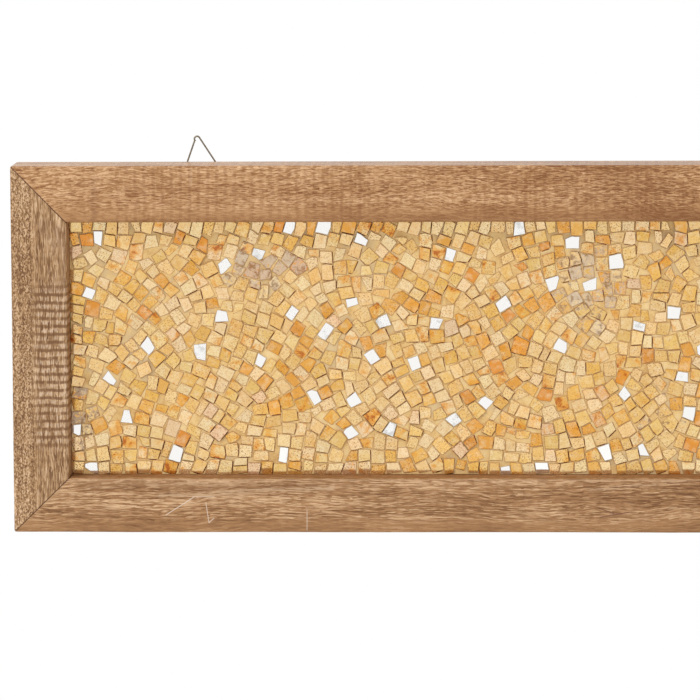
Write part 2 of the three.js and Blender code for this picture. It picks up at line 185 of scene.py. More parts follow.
class Bench:
    """Adds nodes to one shader or geometry tree."""

    def __init__(self, tree: bpy.types.NodeTree) -> None:
        """Works on the given tree."""
        self.tree = tree

    def add(
        self,
        kind: str,
        settings: Mapping[str, object] | None = None,
        inputs: Mapping[str | int, object] | None = None,
    ) -> bpy.types.Node:
        """Adds one node.

        Args:
            kind: The node's type.
            settings: Its properties, set first; "stops" are a colour ramp's positions and colours.
            inputs: Values or links of its sockets, by name or number.

        Returns:
            The node.
        """
        node = self.tree.nodes.new(kind)
        for name, value in (settings or {}).items():
            if name == "stops":
                self._set_stops(node.color_ramp, value)
            else:
                setattr(node, name, value)
        for key, value in (inputs or {}).items():
            source = value.socket if isinstance(value, Term) else value
            if isinstance(source, bpy.types.NodeSocket):
                self.tree.links.new(source, node.inputs[key])
            else:
                node.inputs[key].default_value = source
        return node

    @staticmethod
    def _set_stops(ramp: bpy.types.ColorRamp, stops: list[tuple[float, Colour]]) -> None:
        """Gives a colour ramp its stops.

        Args:
            ramp: The ramp.
            stops: Positions and colours, in order.
        """
        while len(ramp.elements) < len(stops):
            ramp.elements.new(1.0)
        for element, (position, colour) in zip(ramp.elements, stops):
            element.position = position
            element.color = colour

    def term(self, kind: str, output: str | int, settings: Mapping[str, object] | None = None,
             inputs: Mapping[str | int, object] | None = None) -> Term:
        """Adds a node and takes one of its outputs as a value.

        Args:
            kind: The node's type.
            output: The output's name or number.
            settings: As for add.
            inputs: As for add.

        Returns:
            The output as a term.
        """
        return Term(self, self.add(kind, settings, inputs).outputs[output])

    def place(self, x: Term | float, y: Term | float, z: Term | float) -> bpy.types.NodeSocket:
        """A vector from three values."""
        return self.add("ShaderNodeCombineXYZ", None, {0: x, 1: y, 2: z}).outputs[0]

    def parts(self, vector: bpy.types.NodeSocket, scale: float = 1.0) -> tuple[Term, Term, Term]:
        """The three values of a vector, scaled.

        Args:
            vector: The vector.
            scale: What each value is multiplied by.

        Returns:
            Its X, Y and Z.
        """
        scaled = self.add("ShaderNodeVectorMath", {"operation": "SCALE"}, {0: vector, "Scale": scale})
        split = self.add("ShaderNodeSeparateXYZ", None, {0: scaled.outputs[0]})
        return Term(self, split.outputs[0]), Term(self, split.outputs[1]), Term(self, split.outputs[2])

    def noise(self, place: bpy.types.NodeSocket, scale: float = 1.0, detail: float = 2.0,
              roughness: float = 0.5, distortion: float = 0.0) -> Term:
        """Smooth noise around 0.5.

        Args:
            place: Where it is read.
            scale: Cells for each unit of place.
            detail: How many finer layers are added.
            roughness: Weight of the finer layers.
            distortion: How far the pattern is stirred.

        Returns:
            The noise.
        """
        inputs = {"Vector": place, "Scale": scale, "Detail": detail, "Roughness": roughness,
                  "Distortion": distortion}
        return self.term("ShaderNodeTexNoise", 0, None, inputs)

    def spots(self, place: bpy.types.NodeSocket, scale: float) -> Term:
        """Distance to the nearest of points scattered over a plane, in cells."""
        flat = {"voronoi_dimensions": "2D"}
        return self.term("ShaderNodeTexVoronoi", "Distance", flat, {"Vector": place, "Scale": scale})

    def cells(self, place: bpy.types.NodeSocket) -> Term:
        """A number from 0 to 1 for each of many irregular cells, one to a unit of place."""
        colour = self.add("ShaderNodeTexVoronoi", None, {"Vector": place, "Scale": 1.0}).outputs["Color"]
        return self.parts(colour)[0]

    def ramp(self, factor: Term, stops: list[tuple[float, Colour]]) -> bpy.types.NodeSocket:
        """A colour read off a ramp."""
        return self.add("ShaderNodeValToRGB", {"stops": stops}, {0: factor}).outputs[0]

    def blend(
        self, factor: Term | float, first: object, second: object, mode: str = "MIX"
    ) -> bpy.types.NodeSocket:
        """Mixes two colours.

        Args:
            factor: Share of the second.
            first: Colour or socket.
            second: Colour or socket.
            mode: How the second is laid over the first.

        Returns:
            The mixed colour.
        """
        node = self.add(
            "ShaderNodeMix", {"data_type": "RGBA", "blend_type": mode}, {0: factor, 6: first, 7: second}
        )
        return node.outputs[2]

    def attribute(self, name: str, output: str = "Fac") -> bpy.types.NodeSocket:
        """A mesh attribute's socket."""
        return self.add("ShaderNodeAttribute", {"attribute_name": name}).outputs[output]

    def object_place(self) -> tuple[Term, Term, Term]:
        """Object coordinates in millimetres."""
        source = self.add("ShaderNodeTexCoord").outputs["Object"]
        return self.parts(source, 1 / MM)


def new_material(name: str) -> tuple[bpy.types.Material, Bench]:
    """Makes an empty node material.

    Args:
        name: The material's name.

    Returns:
        The material and the bench of its tree.
    """
    material = bpy.data.materials.new(name)
    material.use_nodes = True
    material.node_tree.nodes.clear()
    return material, Bench(material.node_tree)


def close_material(bench: Bench, inputs: Mapping[str, object], height: Term | None = None,
                   relief: float = 0.1) -> None:
    """Ends a material with one Principled surface.

    Args:
        bench: The material's bench.
        inputs: Values or links of the surface's sockets.
        height: Bump height, from 0 to 1.
        relief: What a height of 1 stands for, in millimetres.
    """
    surface = bench.add("ShaderNodeBsdfPrincipled", None, inputs)
    if height is not None:
        bump = bench.add("ShaderNodeBump", None, {"Height": height, "Distance": relief * MM, "Strength": 1.0})
        bench.tree.links.new(bump.outputs[0], surface.inputs["Normal"])
    bench.add("ShaderNodeOutputMaterial", None, {"Surface": surface.outputs[0]})


# ---- Meshes ----


def mesh_object(name: str, mesh: bpy.types.Mesh) -> bpy.types.Object:
    """Links a mesh into the scene as an object at the origin.

    Args:
        name: The object's name.
        mesh: Its mesh.

    Returns:
        The object.
    """
    mesh.name = name
    thing = bpy.data.objects.new(name, mesh)
    bpy.context.scene.collection.objects.link(thing)
    return thing


def mesh_from(points: np.ndarray, faces: list[list[int]] | np.ndarray, name: str = "shape") -> bpy.types.Mesh:
    """A mesh from points in millimetres.

    Args:
        points: One row of X, Y, Z for each point.
        faces: Point numbers of each face.
        name: The mesh's name.

    Returns:
        The mesh.
    """
    mesh = bpy.data.meshes.new(name)
    rows = faces.tolist() if isinstance(faces, np.ndarray) else faces
    mesh.from_pydata((np.asarray(points, float) * MM).tolist(), [], rows)
    return mesh


def face_outwards(mesh: bpy.types.Mesh) -> None:
    """Turns every face of a closed mesh to point outwards."""
    work = bmesh.new()
    work.from_mesh(mesh)
    bmesh.ops.recalc_face_normals(work, faces=work.faces)
    work.to_mesh(mesh)
    work.free()


def smooth_by_angle(mesh: bpy.types.Mesh, degrees: float) -> None:
    """Shades a mesh smooth, except over edges sharper than an angle."""
    mesh.shade_smooth()
    mesh.set_sharp_from_angle(angle=math.radians(degrees))


def grow(thing: bpy.types.Object, tree: bpy.types.NodeTree, values: Mapping[str, object]) -> bpy.types.Object:
    """Runs a geometry tree on an object and keeps the result as its plain mesh.

    Args:
        thing: The object.
        tree: The geometry tree.
        values: The tree's inputs, by name.

    Returns:
        The object, with its new mesh and no modifier.
    """
    modifier = thing.modifiers.new(tree.name, "NODES")
    modifier.node_group = tree
    for item in tree.interface.items_tree:
        if item.item_type == "SOCKET" and item.in_out == "INPUT" and item.name in values:
            modifier[item.identifier] = values[item.name]
    graph = bpy.context.evaluated_depsgraph_get()
    evaluated = thing.evaluated_get(graph)
    mesh = bpy.data.meshes.new_from_object(evaluated, preserve_all_data_layers=True, depsgraph=graph)
    thing.modifiers.remove(modifier)
    thing.data = mesh
    mesh.name = thing.name
    return thing


def settle_piece(thing: bpy.types.Object, body: str, slot: str, *nodes: str) -> None:
    """Rides a piece on its body, hides the CAD nodes it stands for, and reports it in the log.

    Args:
        thing: The finished piece.
        body: The body it moves with.
        slot: Not used.
        nodes: CAD nodes that it replaces.
    """
    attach(thing, body)
    if nodes:
        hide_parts(*nodes)
    LOG.info("%s: %d faces, rides %s", thing.name, len(thing.data.polygons), body)


def tree_inputs(tree: bpy.types.NodeTree, sockets: list[tuple[str, str]]) -> None:
    """Gives a geometry tree its inputs and its one geometry output.

    Args:
        tree: The tree.
        sockets: Names and socket types of the inputs after the geometry.
    """
    tree.interface.new_socket("Geometry", in_out="INPUT", socket_type="NodeSocketGeometry")
    for name, kind in sockets:
        tree.interface.new_socket(name, in_out="INPUT", socket_type=kind)
    tree.interface.new_socket("Geometry", in_out="OUTPUT", socket_type="NodeSocketGeometry")


# ---- Sizes ----


def node_box(node: str) -> tuple[np.ndarray, np.ndarray]:
    """Lowest and highest corner of a CAD node, in millimetres to the micrometre."""
    low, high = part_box(node)
    return np.round(np.array(low) / MM, 3), np.round(np.array(high) / MM, 3)


@dataclass(frozen=True)
class PanelSizes:
    """Main sizes of the panel.

    Attributes:
        left: X of the frame's left side.
        right: X of its right side.
        bottom: Z of its underside.
        top: Z of its top.
        front: Y of its front face.
        back: Y of the plane against the wall.
        opening_low: X and Z of the opening's lower left corner.
        opening_high: X and Z of its upper right corner.
        board_front: Y of the board's front face.
    """

    left: float
    right: float
    bottom: float
    top: float
    front: float
    back: float
    opening_low: Point
    opening_high: Point
    board_front: float

    @classmethod
    def from_frame(cls) -> "PanelSizes":
        """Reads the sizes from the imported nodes' boxes."""
        top_low, top_high = node_box("top_rail")
        bottom_low, bottom_high = node_box("bottom_rail")
        left_low, left_high = node_box("left_stile")
        right_low, right_high = node_box("right_stile")
        board_low, _ = node_box("backing_board")
        return cls(
            left=float(left_low[0]),
            right=float(right_high[0]),
            bottom=float(bottom_low[2]),
            top=float(top_high[2]),
            front=float(top_low[1]),
            back=float(top_high[1]),
            opening_low=(float(left_high[0]), float(bottom_high[2])),
            opening_high=(float(right_low[0]), float(top_low[2])),
            board_front=float(board_low[1]),
        )

    @property
    def opening_length(self) -> float:
        """Length of the opening."""
        return self.opening_high[0] - self.opening_low[0]

    @property
    def opening_height(self) -> float:
        """Height of the opening."""
        return self.opening_high[1] - self.opening_low[1]


# ---- Timber frame ----


class Ripple:
    """Smooth seeded noise over a plane, from -1 to 1."""

    LATTICE = 256

    def __init__(self, seed: int, cell_u: float, cell_v: float) -> None:
        """Draws the values held at the corners of cells of the given size."""
        self.held = np.random.default_rng(seed).uniform(-1, 1, (self.LATTICE, self.LATTICE))
        self.cell_u = cell_u
        self.cell_v = cell_v

    def at(self, u: np.ndarray, v: np.ndarray) -> np.ndarray:
        """Reads the noise.

        Args:
            u: First coordinate of each place.
            v: Second coordinate of each place.

        Returns:
            The values.
        """
        gu, gv = u / self.cell_u + 64.0, v / self.cell_v + 64.0
        i, j = np.floor(gu).astype(int), np.floor(gv).astype(int)
        s, t = gu - i, gv - j
        s, t = s * s * (3 - 2 * s), t * t * (3 - 2 * t)
        i0, j0, i1, j1 = (k % self.LATTICE for k in (i, j, i + 1, j + 1))
        low = self.held[i0, j0] * (1 - s) + self.held[i1, j0] * s
        high = self.held[i0, j1] * (1 - s) + self.held[i1, j1] * s
        return low * (1 - t) + high * t


class Grain(Enum):
    """Which way a rail's grain runs."""

    LEVEL = "level"
    UPRIGHT = "upright"


@dataclass(frozen=True)
class Bars:
    """Marks that a saw left across the grain, in a stretch of a rail.

    Attributes:
        start: Where along the rail they begin.
        end: Where they end.
        spacing: From one mark to the next.
        strength: How dark and deep they are, from 0 to 1.
        reach: The two places across the rail between which they come in.
    """

    start: float
    end: float
    spacing: float
    strength: float
    reach: Point = (-1001.0, -1000.0)


@dataclass(frozen=True)
class Scratch:
    """A straight scratch or stain on the frame's front.

    Attributes:
        start: X and Z of one end.
        end: X and Z of the other.
        width: Its full width.
        colour: Its colour.
        strength: How much of the wood it covers.
    """

    start: Point
    end: Point
    width: float
    colour: Colour
    strength: float


RAW_FIBRE = shade(222, 204, 188)
DUSTY_GRAIN = shade(200, 174, 148)
PALE_GRAIN = shade(196, 162, 128)
DARK_GRAIN = shade(112, 72, 40)
DARK_CRACK = shade(98, 52, 30)

TOP_MARKS = (
    Scratch((-530.6, 142.0), (-530.6, 108.0), 7.0, DARK_GRAIN, 0.35),
    Scratch((-450.0, 150.0), (-450.5, 137.0), 3.5, PALE_GRAIN, 0.4),
    Scratch((-366.5, 148.0), (-366.0, 146.0), 4.5, PALE_GRAIN, 0.4),
)
LEFT_MARKS = (
    # Painted shade: a dark band along the upper half of the inner edge, where the rounding turns away from the
    # light.
    Scratch((-557.0, 96.0), (-556.5, 52.0), 9.0, DARK_GRAIN, 0.45),
    # A dark patch near the top inner corner.
    Scratch((-571.0, 101.0), (-561.0, 96.0), 20.0, DARK_GRAIN, 0.5),
    Scratch((-574.0, 49.0), (-558.0, 50.0), 3.0, DARK_GRAIN, 0.4),
)
BOTTOM_MARKS = (
    Scratch((-545.0, -113.2), (-340.0, -114.6), 9.0, DARK_GRAIN, 0.4),
    Scratch((-478.0, -121.8), (-335.0, -115.4), 5.5, PALE_GRAIN, 0.7),
    Scratch((-121.0, -117.0), (-44.0, -109.0), 4.5, PALE_GRAIN, 0.5),
    Scratch((-473.4, -138.0), (-449.9, -122.9), 0.9, RAW_FIBRE, 0.75),
    Scratch((-449.9, -122.9), (-433.3, -122.4), 0.7, RAW_FIBRE, 0.55),
    Scratch((-440.2, -127.4), (-437.7, -144.2), 0.75, RAW_FIBRE, 0.7),
    Scratch((-437.7, -144.4), (-433.7, -140.8), 1.1, RAW_FIBRE, 0.6),
    Scratch((-356.1, -134.0), (-356.2, -150.6), 0.7, RAW_FIBRE, 0.65),
    Scratch((-114.6, -131.9), (-102.0, -136.4), 1.2, DARK_CRACK, 0.8),
    Scratch((-113.2, -139.6), (-90.0, -135.6), 1.5, DARK_CRACK, 0.7),
    Scratch((-104.5, -136.4), (-96.0, -137.2), 3.6, DARK_CRACK, 0.35),
)


@dataclass(frozen=True)
class TimberFinish:
    """Waxed hardwood with wandering grain, short open pores and saw marks.

    Attributes:
        light: Colour between the grain lines.
        middle: Colour of most of the wood.
        dark: Colour of the grain lines.
        pore: Colour inside pores and joints.
        ring_width: From one grain line to the next.
        wander: How far the grain lines stray sideways.
        streak: Contrast of the long streaks.
        fleck: Contrast of the short flecks.
        fleck_length: Length of a fleck.
        fade: How much darker it grows from the left end to the middle.
        edge_highlight: How strongly a pale highlight is painted along the rounded inner front edge.
        calm: The two places across the rail between which the grain grows smooth and dark.
        sandy: The two places across the rail between which the flecks turn to grains.
        shift: Moves the pattern, so that no two rails match.
    """

    light: Colour = shade(216, 174, 132)
    middle: Colour = shade(176, 130, 84)
    dark: Colour = shade(124, 74, 28)
    pore: Colour = shade(84, 44, 14)
    ring_width: float = 6.0
    wander: float = 16.0
    streak: float = 0.7
    fleck: float = 1.0
    fleck_length: float = 7.0
    fade: float = 0.0
    edge_highlight: float = 0.0
    calm: Point = (-2001.0, -2000.0)
    sandy: Point = (-2001.0, -2000.0)
    shift: float = 0.0

    def material(self, rail: "Rail", sizes: PanelSizes) -> bpy.types.Material:
        """Makes the material of one rail.

        Args:
            rail: The rail that it goes on.
            sizes: The panel's sizes.

        Returns:
            The material.
        """
        material, bench = new_material(f"{rail.node}_wood")
        x, y, z = bench.object_place()
        along, across = (x, z) if rail.grain is Grain.LEVEL else (z, x)
        along = along + self.shift
        stray = bench.noise(bench.place(along * 0.007, across * 0.018, y * 0.018 + self.shift), detail=2.0)
        jog = bench.noise(bench.place(along * 0.04, across * 0.1, y * 0.1), detail=1.0)
        path = across + (stray - 0.5) * (self.wander * 2) + (jog - 0.5) * 3.0
        calm = 1 - across.step(*self.calm) if self.calm[0] > -2000 else None
        rings = bench.noise(
            bench.place(along * 0.004, path / self.ring_width, y / self.ring_width), detail=3.0, roughness=0.6
        )
        streaks = bench.noise(bench.place(along * 0.014, path * 0.9, y * 0.9), detail=3.0, roughness=0.7)
        flecks = bench.noise(
            bench.place(along / self.fleck_length, path * 1.1, y * 1.1), detail=2.0, roughness=0.65
        )
        fibres = bench.cells(bench.place(along / self.fleck_length, path * 1.75, y * 1.75))
        dashes = bench.cells(bench.place(along / self.fleck_length + 31.7, path * 1.45, y * 1.45))
        if self.sandy[0] > -2000:
            grains = bench.cells(bench.place(along * 0.8, across * 1.25, y * 1.25))
            fibres = fibres + (grains * 1.1 - 0.15 - fibres) * across.step(*self.sandy)
            dashes = dashes * (1 - across.step(*self.sandy) * 0.4)
        patches = bench.noise(bench.place(along * 0.01, across * 0.06, y * 0.05), detail=2.0)
        detail = (
            (rings - 0.5) * 0.4
            + (streaks - 0.5) * (0.7 * self.streak)
            + (flecks - 0.5) * (0.5 * self.fleck)
            + (fibres - 0.5) * (0.68 * self.fleck)
        )
        if calm is not None:
            detail = detail * (0.4 + calm * 0.6) + (calm - 1) * 0.08
        tone = 0.5 + detail + (patches - 0.5) * 0.7
        if self.fade:
            tone = tone - (along - self.shift).step(-420, -100) * self.fade
        colour = bench.ramp(tone, [(0.08, self.dark), (0.5, self.middle), (0.9, self.light)])
        pores = (dashes * 0.8 + flecks * 0.3).step(0.76, 0.88)
        if calm is not None:
            pores = pores * (0.4 + calm * 0.6)
        colour = bench.blend(pores * (0.4 * self.fleck), colour, self.dark)
        marks = self._bars(bench, rail, along - self.shift, across)
        if marks is not None:
            dark, pale = marks
            colour = bench.blend(pale * (flecks + fibres * 0.5).step(0.55, 0.95), colour, DUSTY_GRAIN)
            colour = bench.blend(dark * 0.82, colour, self.dark)
        colour = bench.blend(self._joint(bench, rail, x, z) * 0.75, colour, self.pore)
        for scratch in rail.scratches:
            mask = self._scratch(bench, scratch, x, z) * (y.step(sizes.front + 1.2, sizes.front + 0.4))
            if scratch.width > 2:
                mask = mask * (streaks + flecks - 0.5).step(0.3, 0.62)
            colour = bench.blend(mask * scratch.strength, colour, scratch.colour)
        # Painted highlight: a pale line along the rounded inner front edge, standing in for the light that
        # catches it from above.
        if self.edge_highlight:
            colour = bench.blend(self._painted_edge_highlight(bench, rail, sizes) * self.edge_highlight, colour, PALE_GRAIN)
        height = 0.6 + (flecks - 0.5) * 0.5 - pores * 0.4
        if marks is not None:
            height = height - marks[0] * 0.25
        # Painted shade: the inner faces deep in the opening's recess are darkened towards deep brown; they
        # also lose their coat and grow rougher.
        recess_shade = y.step(sizes.front + 2.5, sizes.front + 5.0) * (1 - y.step(-3.0, -1.0))
        recess_shade = recess_shade * self._inside(bench, sizes)
        colour = bench.blend(recess_shade * 0.35, colour, shade(146, 92, 38))
        roughness = 0.5 + (streaks - 0.5) * 0.2 + pores * 0.2 + recess_shade * 0.3
        close_material(
            bench,
            {
                "Base Color": colour,
                "Roughness": roughness,
                "Specular IOR Level": 0.3,
                "Coat Weight": (1 - recess_shade) * 0.3,
                "Coat Roughness": 0.22,
            },
            height,
            relief=0.12,
        )
        return material

    @staticmethod
    def _inside(bench: Bench, sizes: PanelSizes) -> Term:
        """Mask of the faces that look into the opening."""
        x, _, z = bench.object_place()
        low, high = sizes.opening_low, sizes.opening_high
        half_width, half_height = (high[0] - low[0]) / 2, (high[1] - low[1]) / 2
        wide = abs(x - (low[0] + high[0]) / 2).step(half_width + 1.5, half_width + 0.7)
        tall = abs(z - (low[1] + high[1]) / 2).step(half_height + 1.5, half_height + 0.7)
        return wide * tall

    @staticmethod
    def _bars(bench: Bench, rail: "Rail", along: Term, across: Term) -> tuple[Term, Term] | None:
        """Masks of the saw marks on a rail.

        Args:
            bench: The material's bench.
            rail: The rail.
            along: Place along the rail.
            across: Place across it.

        Returns:
            The masks of the dark marks and of the pale wood between them, or None for a rail without.
        """
        total: tuple[Term, Term] | None = None
        for bars in rail.bars:
            middle, half = (bars.start + bars.end) / 2, abs(bars.end - bars.start) / 2
            here = abs(along - middle).step(half + 6, half - 12) * across.step(*bars.reach)
            lean = bench.noise(bench.place(along * 0.02, across * 0.06, 3.0), detail=2.0) * 4
            wave = ((along + lean) * (2 * math.pi / bars.spacing)).sine()
            broken = bench.noise(bench.place(along * 0.1, across * 0.2, 7.0), detail=2.0)
            dark = here * wave.step(0.0, 0.8) * broken.step(0.28, 0.5) * bars.strength
            pale = here * wave.step(0.1, -0.7) * broken.step(0.66, 0.4) * max(0.0, bars.strength * 2 - 1.1)
            total = (dark, pale) if total is None else (total[0].at_least(dark), total[1].at_least(pale))
        return total

    @staticmethod
    def _painted_edge_highlight(bench: Bench, rail: "Rail", sizes: PanelSizes) -> Term:
        """Mask of the painted highlight, a pale line along a rail's inner front edge where its rounding would
        catch the light.

        Args:
            bench: The material's bench.
            rail: The rail.
            sizes: The panel's sizes.

        Returns:
            The mask.
        """
        x, y, z = bench.object_place()
        along, across = (x, z) if rail.grain is Grain.LEVEL else (z, x)
        side = 1 if rail.grain is Grain.UPRIGHT else 0
        corner = sizes.opening_high if rail.side > 0 else sizes.opening_low
        inwards = (across - corner[1 - side]) * rail.side
        off = abs(inwards + (sizes.front - y) - 0.2).step(1.1, 0.2)
        thin = bench.noise(bench.place(along * 0.03, across * 0.3, 0.0), detail=3.0).step(0.3, 0.55)
        return off * inwards.step(4.5, 3.0) * thin

    @staticmethod
    def _joint(bench: Bench, rail: "Rail", x: Term, z: Term) -> Term:
        """Mask of the dark lines where a rail meets its neighbours.

        Args:
            bench: The material's bench.
            rail: The rail.
            x: Place along X.
            z: Place along Z.

        Returns:
            The mask.
        """
        lines = []
        for corner, inner in rail.mitres:
            run, rise = inner[0] - corner[0], inner[1] - corner[1]
            size = math.hypot(run, rise)
            lines.append(abs((x - corner[0]) * (rise / size) - (z - corner[1]) * (run / size)))
        nearest = lines[0].at_most(lines[1])
        grime = bench.noise(bench.place(x * 0.08, 0.0, z * 0.08), detail=2.0)
        return (nearest - grime * 0.7).step(0.4, -0.2)

    @staticmethod
    def _scratch(bench: Bench, scratch: Scratch, x: Term, z: Term) -> Term:
        """Mask of one scratch.

        Args:
            bench: The material's bench.
            scratch: The scratch.
            x: Place along X.
            z: Place along Z.

        Returns:
            The mask.
        """
        run, rise = scratch.end[0] - scratch.start[0], scratch.end[1] - scratch.start[1]
        from_x, from_z = x - scratch.start[0], z - scratch.start[1]
        share = ((from_x * run + from_z * rise) / (run * run + rise * rise)).at_least(0.0).at_most(1.0)
        off_x, off_z = from_x - share * run, from_z - share * rise
        distance = (off_x * off_x + off_z * off_z) ** 0.5
        return distance.step(scratch.width / 2, scratch.width / 5)


@dataclass
class Rail:
    """One mitred rail or stile of the frame.

    Attributes:
        node: The CAD node that it replaces.
        grain: Which way it runs.
        side: 1 for the top rail or right stile, -1 for the other two.
        meets: Widths of the rails at its low and high end.
        step: Distance between its cross sections.
        finish: Its wood.
        bars: Saw marks on it.
        scratches: Scratches on its front.
        mitres: Outer and inner corner of each of its two mitres, filled in by build.
    """

    node: str
    grain: Grain
    side: int
    meets: tuple[float, float]
    step: float
    finish: TimberFinish
    bars: tuple[Bars, ...] = ()
    scratches: tuple[Scratch, ...] = ()
    mitres: list[tuple[Point, Point]] = field(default_factory=list)

    OUTER_ROUND = 1.6
    INNER_ROUND = 3.2
    CORNER_ROUND = 1.8
    RABBET = 7.0
    FIT_GAP = 0.3
    WAVE = 0.16
    SAW_DEPTH = 0.14

    def build(self, sizes: PanelSizes) -> bpy.types.Object:
        """Builds and dresses the rail.

        Args:
            sizes: The panel's sizes.

        Returns:
            The piece.
        """
        if self.grain is Grain.LEVEL:
            half_length = (sizes.right - sizes.left) / 2
            outer = sizes.top if self.side > 0 else sizes.bottom
            inner = sizes.opening_high[1] if self.side > 0 else sizes.opening_low[1]
        else:
            half_length = (sizes.top - sizes.bottom) / 2
            outer = sizes.right if self.side > 0 else sizes.left
            inner = sizes.opening_high[0] if self.side > 0 else sizes.opening_low[0]
        width = abs(outer - inner)
        section = self._section(width, sizes)
        inwards, depth = section[:, 0], section[:, 1]
        clearance = self.FIT_GAP * math.sqrt(0.5)
        low = -half_length + clearance + inwards * self.meets[0] / width
        high = half_length - clearance - inwards * self.meets[1] / width
        rows = max(2, round(2 * half_length / self.step))
        share = np.linspace(0, 1, rows + 1)[:, None]
        along = low[None, :] * (1 - share) + high[None, :] * share
        lift = self._relief(along, section, sizes)
        normal = self._normals(section)
        inwards = inwards[None, :] + normal[None, :, 0] * lift
        depth = depth[None, :] + normal[None, :, 1] * lift
        across = outer - self.side * inwards
        x, z = (along, across) if self.grain is Grain.LEVEL else (across, along)
        x, z = self._knock_corners(x, z, sizes)
        points = np.stack([x, np.broadcast_to(depth, x.shape), z], axis=-1).reshape(-1, 3)
        mesh = mesh_from(points, self._faces(rows + 1, len(section)), self.node)
        face_outwards(mesh)
        smooth_by_angle(mesh, 50)
        for at_high in (False, True):
            end = half_length if at_high else -half_length
            reach = end - math.copysign(self.meets[at_high], end)
            pair = ((end, outer), (reach, inner))
            self.mitres.append(pair if self.grain is Grain.LEVEL else tuple((b, a) for a, b in pair))
        thing = mesh_object(f"{self.node}_timber", mesh)
        mesh.materials.append(self.finish.material(self, sizes))
        settle_piece(thing, "panel", "frame_wood", self.node)
        return thing

    def _section(self, width: float, sizes: PanelSizes) -> np.ndarray:
        """The rail's cross section, as distances inwards from its outer side and depths.

        Args:
            width: The rail's width.
            sizes: The panel's sizes.

        Returns:
            One row for each corner, going round once.
        """
        front, back = sizes.front, sizes.back
        bed = sizes.board_front - self.FIT_GAP

        def arc(centre: Point, radius: float, start: float, steps: int) -> list[Point]:
            """A quarter turn, from an angle in degrees."""
            angles = np.radians(np.linspace(start, start + 90, steps + 1))
            return [(centre[0] + radius * math.cos(a), centre[1] + radius * math.sin(a)) for a in angles]

        corners = [
            (0.0, back),
            *arc((self.OUTER_ROUND, front + self.OUTER_ROUND), self.OUTER_ROUND, 180, 4),
            *arc((width - self.INNER_ROUND, front + self.INNER_ROUND), self.INNER_ROUND, 270, 6),
            (width, bed),
            (width - self.RABBET, bed),
            (width - self.RABBET, back),
        ]
        points: list[Point] = []
        for here, after in zip(corners, corners[1:] + corners[:1]):
            count = max(1, round(math.dist(here, after) / 2.2))
            for k in range(count):
                share = k / count
                points.append(
                    (here[0] + (after[0] - here[0]) * share, here[1] + (after[1] - here[1]) * share)
                )
        return np.array(points)

    @staticmethod
    def _normals(section: np.ndarray) -> np.ndarray:
        """Outward directions at the corners of a cross section."""
        tangent = np.roll(section, -1, axis=0) - np.roll(section, 1, axis=0)
        normal = np.stack([tangent[:, 1], -tangent[:, 0]], axis=1)
        return -normal / np.linalg.norm(normal, axis=1, keepdims=True)

    def _relief(self, along: np.ndarray, section: np.ndarray, sizes: PanelSizes) -> np.ndarray:
        """How far each point stands out of the plain shape: hand-planed waves and saw marks.

        Args:
            along: Place of each point along the rail.
            section: The cross section.
            sizes: The panel's sizes.

        Returns:
            The lifts, none of them on the back or in the rabbet.
        """
        seed = int(self.finish.shift) + 11
        girth = np.cumsum(np.linalg.norm(np.diff(section, axis=0, prepend=section[:1]), axis=1))[None, :]
        girth = np.broadcast_to(girth, along.shape)
        broad = Ripple(seed, 55, 14).at(along, girth)
        fine = Ripple(seed + 1, 9, 4).at(along, girth)
        lift = self.WAVE * broad + 0.05 * fine
        on_front = np.clip((sizes.front + 4 - section[:, 1]) / 4, 0, 1)[None, :]
        for bars in self.bars:
            middle, half = (bars.start + bars.end) / 2, abs(bars.end - bars.start) / 2
            here = np.clip((half + 6 - np.abs(along - middle)) / 18, 0, 1)
            wave = np.sin(along * 2 * math.pi / bars.spacing)
            lift = lift - self.SAW_DEPTH * bars.strength * here * on_front * (0.5 + 0.5 * wave)
        shown = (section[:, 1] < sizes.board_front - 1) | (section[:, 0] < 0.5)
        ends = np.clip((sizes.back - section[:, 1]) / 6, 0, 1)
        return np.minimum(lift, 0.12) * (shown * ends)[None, :]

    def _knock_corners(
        self, x: np.ndarray, z: np.ndarray, sizes: PanelSizes
    ) -> tuple[np.ndarray, np.ndarray]:
        """Rounds the frame's outer corners in plan.

        Args:
            x: X of each point.
            z: Z of each point.
            sizes: The panel's sizes.

        Returns:
            The rounded X and Z.
        """
        centre_x = np.where(x > 0, sizes.right - self.CORNER_ROUND, sizes.left + self.CORNER_ROUND)
        centre_z = np.where(z > 0, sizes.top - self.CORNER_ROUND, sizes.bottom + self.CORNER_ROUND)
        off_x, off_z = x - centre_x, z - centre_z
        far = np.hypot(off_x, off_z)
        beyond = (off_x * np.sign(x) > 0) & (off_z * np.sign(z) > 0) & (far > self.CORNER_ROUND)
        pull = np.where(beyond, self.CORNER_ROUND / np.maximum(far, 1e-6), 1.0)
        return centre_x + off_x * pull, centre_z + off_z * pull

    @staticmethod
    def _faces(rows: int, columns: int) -> list[list[int]]:
        """Faces of a closed bar of sections, with a cap on each end.

        Args:
            rows: Number of sections.
            columns: Points in each.

        Returns:
            Point numbers of each face.
        """
        numbers = np.arange(rows * columns).reshape(rows, columns)
        after = np.roll(numbers, -1, axis=1)
        quads = np.stack([numbers[:-1], numbers[1:], after[1:], after[:-1]], axis=-1).reshape(-1, 4)
        return [*quads.tolist(), numbers[0].tolist(), numbers[-1][::-1].tolist()]


